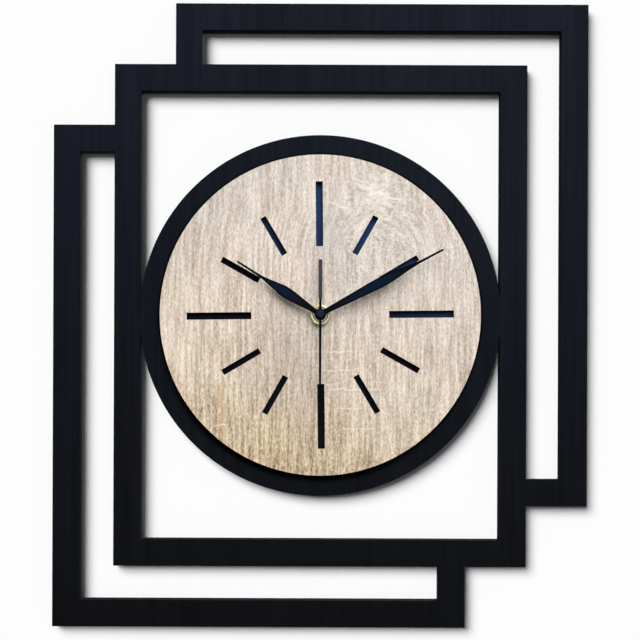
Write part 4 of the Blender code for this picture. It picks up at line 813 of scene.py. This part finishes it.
def hex_nut():
    """A hexagon nut, chamfered on both faces and threaded inside."""
    work = bmesh.new()
    drops = (0.0, 0.08, 0.16, 0.26, 0.38, 0.50, 0.62)
    section = [(hexagon(NUT_FACE + NUT_SLOPE * drop), NUT_BACK + drop) for drop in drops]
    section += [(hexagon(NUT_FACE + NUT_SLOPE * drop), NUT_FRONT - drop) for drop in reversed(drops)]
    section += [(4.42, NUT_FRONT)]
    section += threaded(4.12, 4.32, PITCH, NUT_BACK + 0.12, NUT_FRONT - 0.12)[::-1]
    section += [(4.42, NUT_BACK)]
    turned(work, section, closed=True, steps=96)
    finished("nut", work, "hex_nut", angle=28.0)


def sleeve():
    """The movement's flanged sleeve, threaded outside."""
    work = bmesh.new()
    section = [(2.75, 13.7), (5.42, 13.7), (5.50, 13.78), (5.50, 14.22), (5.42, 14.3)]
    section += [(4.0, 14.3), (4.0, 16.2)]
    section += threaded(3.66, 4.0, PITCH, 16.3, 31.55)
    section += [(3.60, 31.9), (2.90, 31.9), (2.75, 31.75)]
    turned(work, section, closed=True)
    finished("sleeve", work, "threaded_sleeve", angle=28.0)


def washers():
    """The brass washer before the panel and the rubber one behind it."""
    work = bmesh.new()
    turned(work, rounded_box(4.3, 6.0, 28.3, 28.8, 0.10, steps=2), closed=True, steps=96)
    finished("flat_washer", work, "brass_washer")
    work = bmesh.new()
    turned(work, rounded_box(4.3, 8.0, 17.4, 18.4, 0.32, steps=4), closed=True, steps=96)
    finished("soft_washer", work, "rubber_washer")


# The back: setting knob and cell
KNOB_AT = (17.727, -3.126)
KNOB_RADIUS = 5.19
RIBS = 24


def ribbed(radius, relief):
    """The radius round a knob's rim with RIBS grooves."""
    def reach(angle):
        wave = 0.5 + 0.5 * math.cos(RIBS * angle)
        return radius - relief * wave * wave
    return reach


def knob():
    """The setting knob: a ribbed disc with a sunk face, and an arrow and a pip raised on it."""
    work = bmesh.new()
    section = [(4.6, 3.1), (ribbed(5.0, 0.15), 3.08), (ribbed(KNOB_RADIUS, 0.30), 2.85)]
    section += [(ribbed(KNOB_RADIUS, 0.30), 0.72), (ribbed(5.02, 0.18), 0.48), (4.72, 0.40), (3.80, 0.40)]
    section += [(3.66, 0.46), (3.60, 0.62), (0.60, 0.62)]
    turned(work, section, at=KNOB_AT, steps=8 * RIBS)
    prism(work, arc_arrow(KNOB_AT, 2.0, 2.45, -120.0, 110.0), 0.64, 0.48)
    turned(work, [(0.85, 0.66), (0.85, 0.56), (0.62, 0.50), (0.02, 0.48)], at=KNOB_AT)
    finished("knob", work, "setting_knob")


CELL_DEPTH = 7.55
CELL_Z = -19.25
CELL_RADIUS = 7.25


def along_x(work, section, steps=72):
    """A turned form round the cell's own axis, from (radius, x) pairs, capped at both ends."""
    skin(work, [[spot(x, CELL_DEPTH + a, CELL_Z + b) for a, b in around(radius, steps)]
                for radius, x in section])


def cell():
    """An AA cell: a jacket shrunk over both shoulders, with a steel cap and a steel base."""
    work = bmesh.new()
    jacket = [(5.70, -24.02), (6.35, -24.12), (6.85, -24.05), (7.14, -23.75), (CELL_RADIUS, -23.2)]
    jacket += [(CELL_RADIUS, 24.05), (7.16, 24.55), (6.90, 24.85), (6.40, 24.95), (5.70, 24.86)]
    along_x(work, jacket)
    finished("cell_jacket", work, "battery_cell")
    work = bmesh.new()
    cap = [(6.1, -23.9), (5.9, -24.08), (3.3, -24.16), (2.95, -24.22), (2.75, -24.4)]
    cap += [(2.72, -24.95), (2.60, -25.14), (2.35, -25.25)]
    along_x(work, cap)
    along_x(work, [(6.1, 24.6), (5.8, 24.92), (4.9, 25.0), (4.6, 25.14), (4.4, 25.25)])
    finished("cell_ends", work, "battery_cell", finish="nickel")


def wrapped(work, low_x, high_x, low_arc, high_arc, lift=0.02, step=0.2):
    """A thin curved patch on the cell's rear side; arcs are measured round the jacket in millimetres."""
    count = max(2, round((high_arc - low_arc) / step))
    rings = []
    for i in range(count + 1):
        angle = (low_arc + (high_arc - low_arc) * i / count) / CELL_RADIUS
        ring = []
        for x, radius in ((low_x, -0.05), (high_x, -0.05), (high_x, lift), (low_x, lift)):
            reach = CELL_RADIUS + radius
            ring.append(spot(x, CELL_DEPTH - reach * math.cos(angle), CELL_Z + reach * math.sin(angle)))
        rings.append(ring)
    skin(work, rings)


def cell_marks():
    """A plus and a minus printed on the jacket."""
    work = bmesh.new()
    wrapped(work, -20.9, -19.9, -0.2, 3.2)
    wrapped(work, -22.1, -20.9, 1.0, 2.0)
    wrapped(work, -19.9, -18.7, 1.0, 2.0)
    finished("plus_mark", work, "battery_cell", finish="ink")
    work = bmesh.new()
    wrapped(work, 16.9, 20.3, 1.0, 2.0)
    finished("minus_mark", work, "battery_cell", finish="pale_ink")


# The circuit board's conductors, as (x, z) corners in mm, and its soldered pads
BOARD_REAR = 4.0
TRACE_WIDTH = 0.45
TRACES = (
    ((-18.7, 4.2), (-18.7, 8.2)),
    ((-19.6, 4.0), (-20.6, 5.4), (-20.6, 9.2), (-19.9, 10.0)),
    ((-17.8, 4.0), (-16.8, 5.4), (-16.8, 9.2), (-17.5, 10.0)),
    ((-20.9, 2.6), (-23.4, 4.2), (-23.4, 17.6)),
    ((-16.5, 2.6), (-14.0, 4.2), (-14.0, 17.6)),
    ((-20.8, 1.2), (-23.2, -0.6), (-23.2, -7.6)),
    ((-16.6, 1.2), (-14.2, -0.6), (-14.2, -7.6)),
    ((-18.7, -0.4), (-18.7, -7.6)),
)
PADS = (
    (-23.4, 17.8), (-14.0, 17.8), (-23.2, -7.8), (-14.2, -7.8), (-18.7, -7.8), (-19.6, 8.6), (-17.8, 8.6),
)


def trace(work, points, width, back, front):
    """A flat conductor along points, with square ends; each stretch stands a little prouder."""
    for (x0, z0), (x1, z1) in zip(points, points[1:]):
        back -= 0.002
        length = math.hypot(x1 - x0, z1 - z0)
        along = ((x1 - x0) / length * width / 2.0, (z1 - z0) / length * width / 2.0)
        corners = []
        for x, z, end, side in ((x0, z0, -1, -1), (x1, z1, 1, -1), (x1, z1, 1, 1), (x0, z0, -1, 1)):
            corners.append((x + end * along[0] - side * along[1], z + end * along[1] + side * along[0]))
        prism(work, corners, back, front)


def board_copper():
    """Conductors under the green mask, and soldered pads, on the board's rear face."""
    work = bmesh.new()
    for number, points in enumerate(TRACES):
        trace(work, points, TRACE_WIDTH, BOARD_REAR - 0.030 - 0.001 * (number % 2), BOARD_REAR + 0.02)
    finished("board_traces", work, "circuit_board", finish="masked_copper")
    work = bmesh.new()
    section = [(1.0, 0.02), (1.0, -0.05), (0.72, -0.16), (0.42, -0.30), (0.24, -0.34)]
    for at in PADS:
        turned(work, [(radius, BOARD_REAR + depth) for radius, depth in section], at=at, steps=32)
    finished("board_pads", work, "circuit_board", finish="solder")


# Marks sunk in the rear cover: plus and minus over the bay, arrows by the knob, a bare label field, discs.
# A cutter starts this far off the face that it cuts, in mm.
CUT_START = -1.0


def plus_outline(at, size, bar):
    """The outline of a plus sign."""
    a = size / 2.0
    b = bar / 2.0
    half = ((-b, -a), (b, -a), (b, -b), (a, -b), (a, b), (b, b))
    return [(at[0] + sign * dx, at[1] + sign * dz) for sign in (1, -1) for dx, dz in half]


def minus_outline(at, size, bar):
    """The outline of a minus sign."""
    corners = ((-1, -1), (1, -1), (1, 1), (-1, 1))
    return [(at[0] + i * size / 2.0, at[1] + j * bar / 2.0) for i, j in corners]


def disc_outline(at, radius, steps=32):
    """The outline of a round mark."""
    return [(at[0] + a, at[1] + b) for a, b in around(radius, steps)]


def cover_cutters():
    """What is sunk in the rear cover's outer face."""
    shapes = [
        (rounded_box(-22.0, 4.0, 4.0, 17.0, 1.0), 0.30),
        (arc_arrow(KNOB_AT, 7.1, 7.8, -95.0, -30.0), 0.50),
        (arc_arrow(KNOB_AT, 7.1, 7.8, 75.0, 10.0), 0.50),
        (plus_outline((-22.0, -6.0), 4.2, 1.1), 0.50),
        (minus_outline((5.0, -6.0), 4.2, 1.1), 0.50),
        (disc_outline((-24.0, 24.0), 1.6), 0.20),
        (disc_outline((24.0, 24.0), 1.6), 0.20),
        (disc_outline((-24.0, 0.0), 1.6), 0.20),
    ]
    return [cutter(outline, CUT_START, depth) for outline, depth in shapes]


# The works
def screw(node, at):
    """A pan-head screw with a cross recess, its shank threaded."""
    work = bmesh.new()
    low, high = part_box(node)
    back = -high.y / MM
    front = -low.y / MM
    pan = ((0.02, 0.02), (0.70, 0.0), (1.20, 0.10), (1.50, 0.32), (1.60, 0.60), (1.60, 0.95), (0.75, 1.0))
    section = [(radius, back + depth) for radius, depth in pan]
    section += threaded(0.60, 0.80, 0.45, back + 1.1, front - 0.35)
    section += [(0.45, front)]
    turned(work, section, at=at, steps=40)
    piece = finished(node + "_turned", work, node)
    carved(piece, [cutter(plus_outline(at, 1.7, 0.34), back + CUT_START, back + 0.55)])


def superellipse(half, power, steps=32):
    """Corners of a rounded square of that half width, as (a, b) pairs."""
    corners = []
    for i in range(steps):
        angle = math.tau * i / steps
        c = math.cos(angle)
        s = math.sin(angle)
        reach = half / (abs(c) ** power + abs(s) ** power) ** (1.0 / power)
        corners.append((reach * c, reach * s))
    return corners


def winding():
    """The coil's wire, turn beside turn, on a rounded square."""
    low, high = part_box("coil_winding")
    centre_depth = -(low.y + high.y) / (2.0 * MM)
    centre_z = (low.z + high.z) / (2.0 * MM)
    half = (high.z - low.z) / (2.0 * MM)
    length = (high.x - low.x) / MM
    turns = round(length / 0.275)
    work = bmesh.new()
    rings = []
    for i in range(4 * turns + 1):
        x = low.x / MM + length * i / (4 * turns)
        shape = superellipse(half - 0.07 * (0.5 + 0.5 * math.cos(math.tau * i / 4.0)), 4.0)
        rings.append([spot(x, centre_depth + a, centre_z + b) for a, b in shape])
    skin(work, rings)
    finished("wire", work, "coil_winding", angle=60.0)


def chip():
    """The timer's resin drop, low and smooth."""
    low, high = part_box("timer_chip")
    at = ((low.x + high.x) / (2.0 * MM), (low.z + high.z) / (2.0 * MM))
    radius = (high.x - low.x) / (2.0 * MM)
    base = -low.y / MM
    height = (high.y - low.y) / MM
    angles = [math.radians(angle) for angle in range(0, 90, 9)]
    section = [(radius * math.cos(a), base - height * math.sin(a)) for a in angles]
    section.append((0.02, base - height))
    work = bmesh.new()
    turned(work, section, at=at)
    finished("resin_drop", work, "timer_chip")


def crystal():
    """A quartz crystal's can: a drawn tube with a rounded end, a crimped ring and a glass seal."""
    low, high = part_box("quartz_crystal")
    centre = ((low.x + high.x) / (2.0 * MM), -(low.y + high.y) / (2.0 * MM))
    radius = (high.x - low.x) / (2.0 * MM)
    bottom = low.z / MM
    top = high.z / MM
    section = [(0.55, bottom), (0.90, bottom + 0.02), (radius, bottom + 0.12), (radius, bottom + 0.42)]
    section += [(0.93, bottom + 0.50), (0.93, top - 0.35), (0.88, top - 0.18), (0.74, top - 0.06)]
    section += [(0.50, top)]
    work = bmesh.new()
    skin(work, [[spot(centre[0] + a, centre[1] + b, z) for a, b in around(reach, 40)]
                for reach, z in section])
    finished("crystal_can", work, "quartz_crystal")


hub_cap()
hex_nut()
sleeve()
washers()
knob()
cell()
cell_marks()
board_copper()
screw("motor_screw_left", (-8.98, 23.3))
screw("motor_screw_right", (21.02, 23.3))
winding()
chip()
crystal()

for node in EDGES:
    dressed(node, cover_cutters() if node == "rear_cover" else ())


# Backdrop, floor, light and camera, in metres; no ray shorter than CLOSE_BY sees the backdrop
BACKDROP_GAP = 0.8 * MM
BACKDROP_REACH = 1.2
BACKDROP_HOLE = 4.0 * MM
FLOOR_REACH = 3.0
CLOSE_BY = 5.0 * MM
FLOOR_Z = -0.30


def stage_sheet(name, loops, material):
    """A flat sheet that is no part of the clock: one face, or the ring between two loops of corners."""
    work = bmesh.new()
    rows = [[work.verts.new(corner) for corner in loop] for loop in loops]
    if len(rows) == 1:
        work.faces.new(rows[0])
    else:
        outer, inner = rows
        for i in range(len(outer)):
            work.faces.new((outer[i - 1], outer[i], inner[i], inner[i - 1]))
    made = object_of(name, work, material)
    return made


def stage_paint(name, colour):
    """Matt paint, seen from its front only, that lets light pass, so the clock's back stays in view."""
    made = Finish(name, colour, 0.9, specular=0.0)
    rays = made.node("LightPath").outputs
    seen = made.math("ADD", rays["Is Camera Ray"], rays["Is Glossy Ray"])
    seen = made.math("ADD", seen, rays["Is Transmission Ray"])
    away = made.math("GREATER_THAN", rays["Ray Length"], CLOSE_BY)
    seen = made.math("MULTIPLY", made.math("MINIMUM", seen, 1.0), away)
    behind = made.node("NewGeometry").outputs["Backfacing"]
    share = made.math("MULTIPLY", seen, made.math("SUBTRACT", 1.0, behind))
    clear = made.node("BsdfTransparent").outputs[0]
    both = made.node("MixShader", {0: share, 1: clear, 2: made.shader.outputs[0]})
    output = made.tree.nodes["Material Output"]
    made.feed(output.inputs["Surface"], both.outputs[0])
    return made.material


def upright(left, right, bottom, top, y):
    """The corners of an upright rectangle, in the order that faces -Y."""
    return [(left, y, bottom), (right, y, bottom), (right, y, top), (left, y, top)]


def backdrop():
    """A white board close behind the panel, with an opening for the movement behind the dial."""
    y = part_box("frame_panel")[1].y + BACKDROP_GAP
    low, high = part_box("movement_case")
    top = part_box("hanger")[1].z
    hole = (low.x - BACKDROP_HOLE, high.x + BACKDROP_HOLE, low.z - BACKDROP_HOLE, top + BACKDROP_HOLE)
    edge = (-BACKDROP_REACH, BACKDROP_REACH, FLOOR_Z, BACKDROP_REACH)
    paint = stage_paint("backdrop_paint", (0.985, 0.985, 0.985))
    return stage_sheet("backdrop", [upright(*edge, y), upright(*hole, y)], paint)


def floor():
    """A pale floor well below the clock."""
    corners = [(-1, -1), (1, -1), (1, 1), (-1, 1)]
    square = [(FLOOR_REACH * i, FLOOR_REACH * j, FLOOR_Z) for i, j in corners]
    return stage_sheet("floor", [square], stage_paint("floor_paint", (0.88, 0.88, 0.87)))


def sun(name, azimuth, elevation, strength, spread, lit=(), unlit=()):
    """A sun from azimuth (0 the front, 90 the viewer's left) and elevation, on some objects or on all."""
    lamp = bpy.data.lights.new(name, "SUN")
    lamp.energy = strength
    lamp.angle = math.radians(spread)
    made = linked(name, lamp)
    a = math.radians(azimuth)
    e = math.radians(elevation)
    source = Vector((-math.sin(a) * math.cos(e), -math.cos(a) * math.cos(e), math.sin(e)))
    made.rotation_mode = "QUATERNION"
    made.rotation_quaternion = (-source).to_track_quat("-Z", "Y")
    if lit or unlit:
        chosen = bpy.data.collections.new(name + "_objects")
        for one in (*lit, *unlit):
            chosen.objects.link(one)
        for entry in chosen.collection_objects:
            entry.light_linking.link_state = "INCLUDE" if lit else "EXCLUDE"
        made.light_linking.receiver_collection = chosen


flat_things = (backdrop(), floor())
sun("key", 32.0, 28.0, 3.80, 41.0, lit=flat_things)
sun("dial_key", -13.0, 39.0, 3.86, 56.0, unlit=flat_things)
sun("rear_fill", 200.0, 30.0, 2.0, 30.0)


def studio_air():
    """White to the camera and to gloss, softer below, and a dim even light on everything else."""
    world = bpy.data.worlds.new("studio_air")
    bpy.context.scene.world = world
    world.use_nodes = True
    tree = world.node_tree
    soft = tree.nodes["Background"]
    soft.inputs["Color"].default_value = (0.93, 0.96, 1.0, 1.0)
    soft.inputs["Strength"].default_value = 0.10
    white = tree.nodes.new("ShaderNodeBackground")
    gloss = tree.nodes.new("ShaderNodeBackground")
    rays = tree.nodes.new("ShaderNodeLightPath")
    place = tree.nodes.new("ShaderNodeTexCoord")
    parts = tree.nodes.new("ShaderNodeSeparateXYZ")
    height = tree.nodes.new("ShaderNodeMapRange")
    height.inputs["From Min"].default_value = -0.6
    height.inputs["From Max"].default_value = 0.7
    height.inputs["To Min"].default_value = 0.35
    link = tree.links.new
    link(place.outputs["Generated"], parts.inputs[0])
    link(parts.outputs["Z"], height.inputs["Value"])
    link(height.outputs[0], gloss.inputs["Strength"])
    for background in (white, gloss):
        background.inputs["Color"].default_value = (1.0, 1.0, 1.0, 1.0)
    shine = tree.nodes.new("ShaderNodeMath")
    link(rays.outputs["Is Glossy Ray"], shine.inputs[0])
    link(rays.outputs["Is Transmission Ray"], shine.inputs[1])
    below = soft
    for share, above in ((shine.outputs[0], gloss), (rays.outputs["Is Camera Ray"], white)):
        both = tree.nodes.new("ShaderNodeMixShader")
        link(share, both.inputs[0])
        link(below.outputs[0], both.inputs[1])
        link(above.outputs[0], both.inputs[2])
        below = both
    link(below.outputs[0], tree.nodes["World Output"].inputs["Surface"])


studio_air()

lens = bpy.data.cameras.new("photo_view")
lens.lens = VIEW_LENS
lens.shift_y = VIEW_SHIFT
camera = linked("photo_view", lens)
camera.location = VIEW_PLACE
camera.rotation_euler = (math.radians(90.0), math.radians(VIEW_ROLL), 0.0)
bpy.context.scene.camera = camera

view = bpy.context.scene.view_settings
view.view_transform = "Standard"
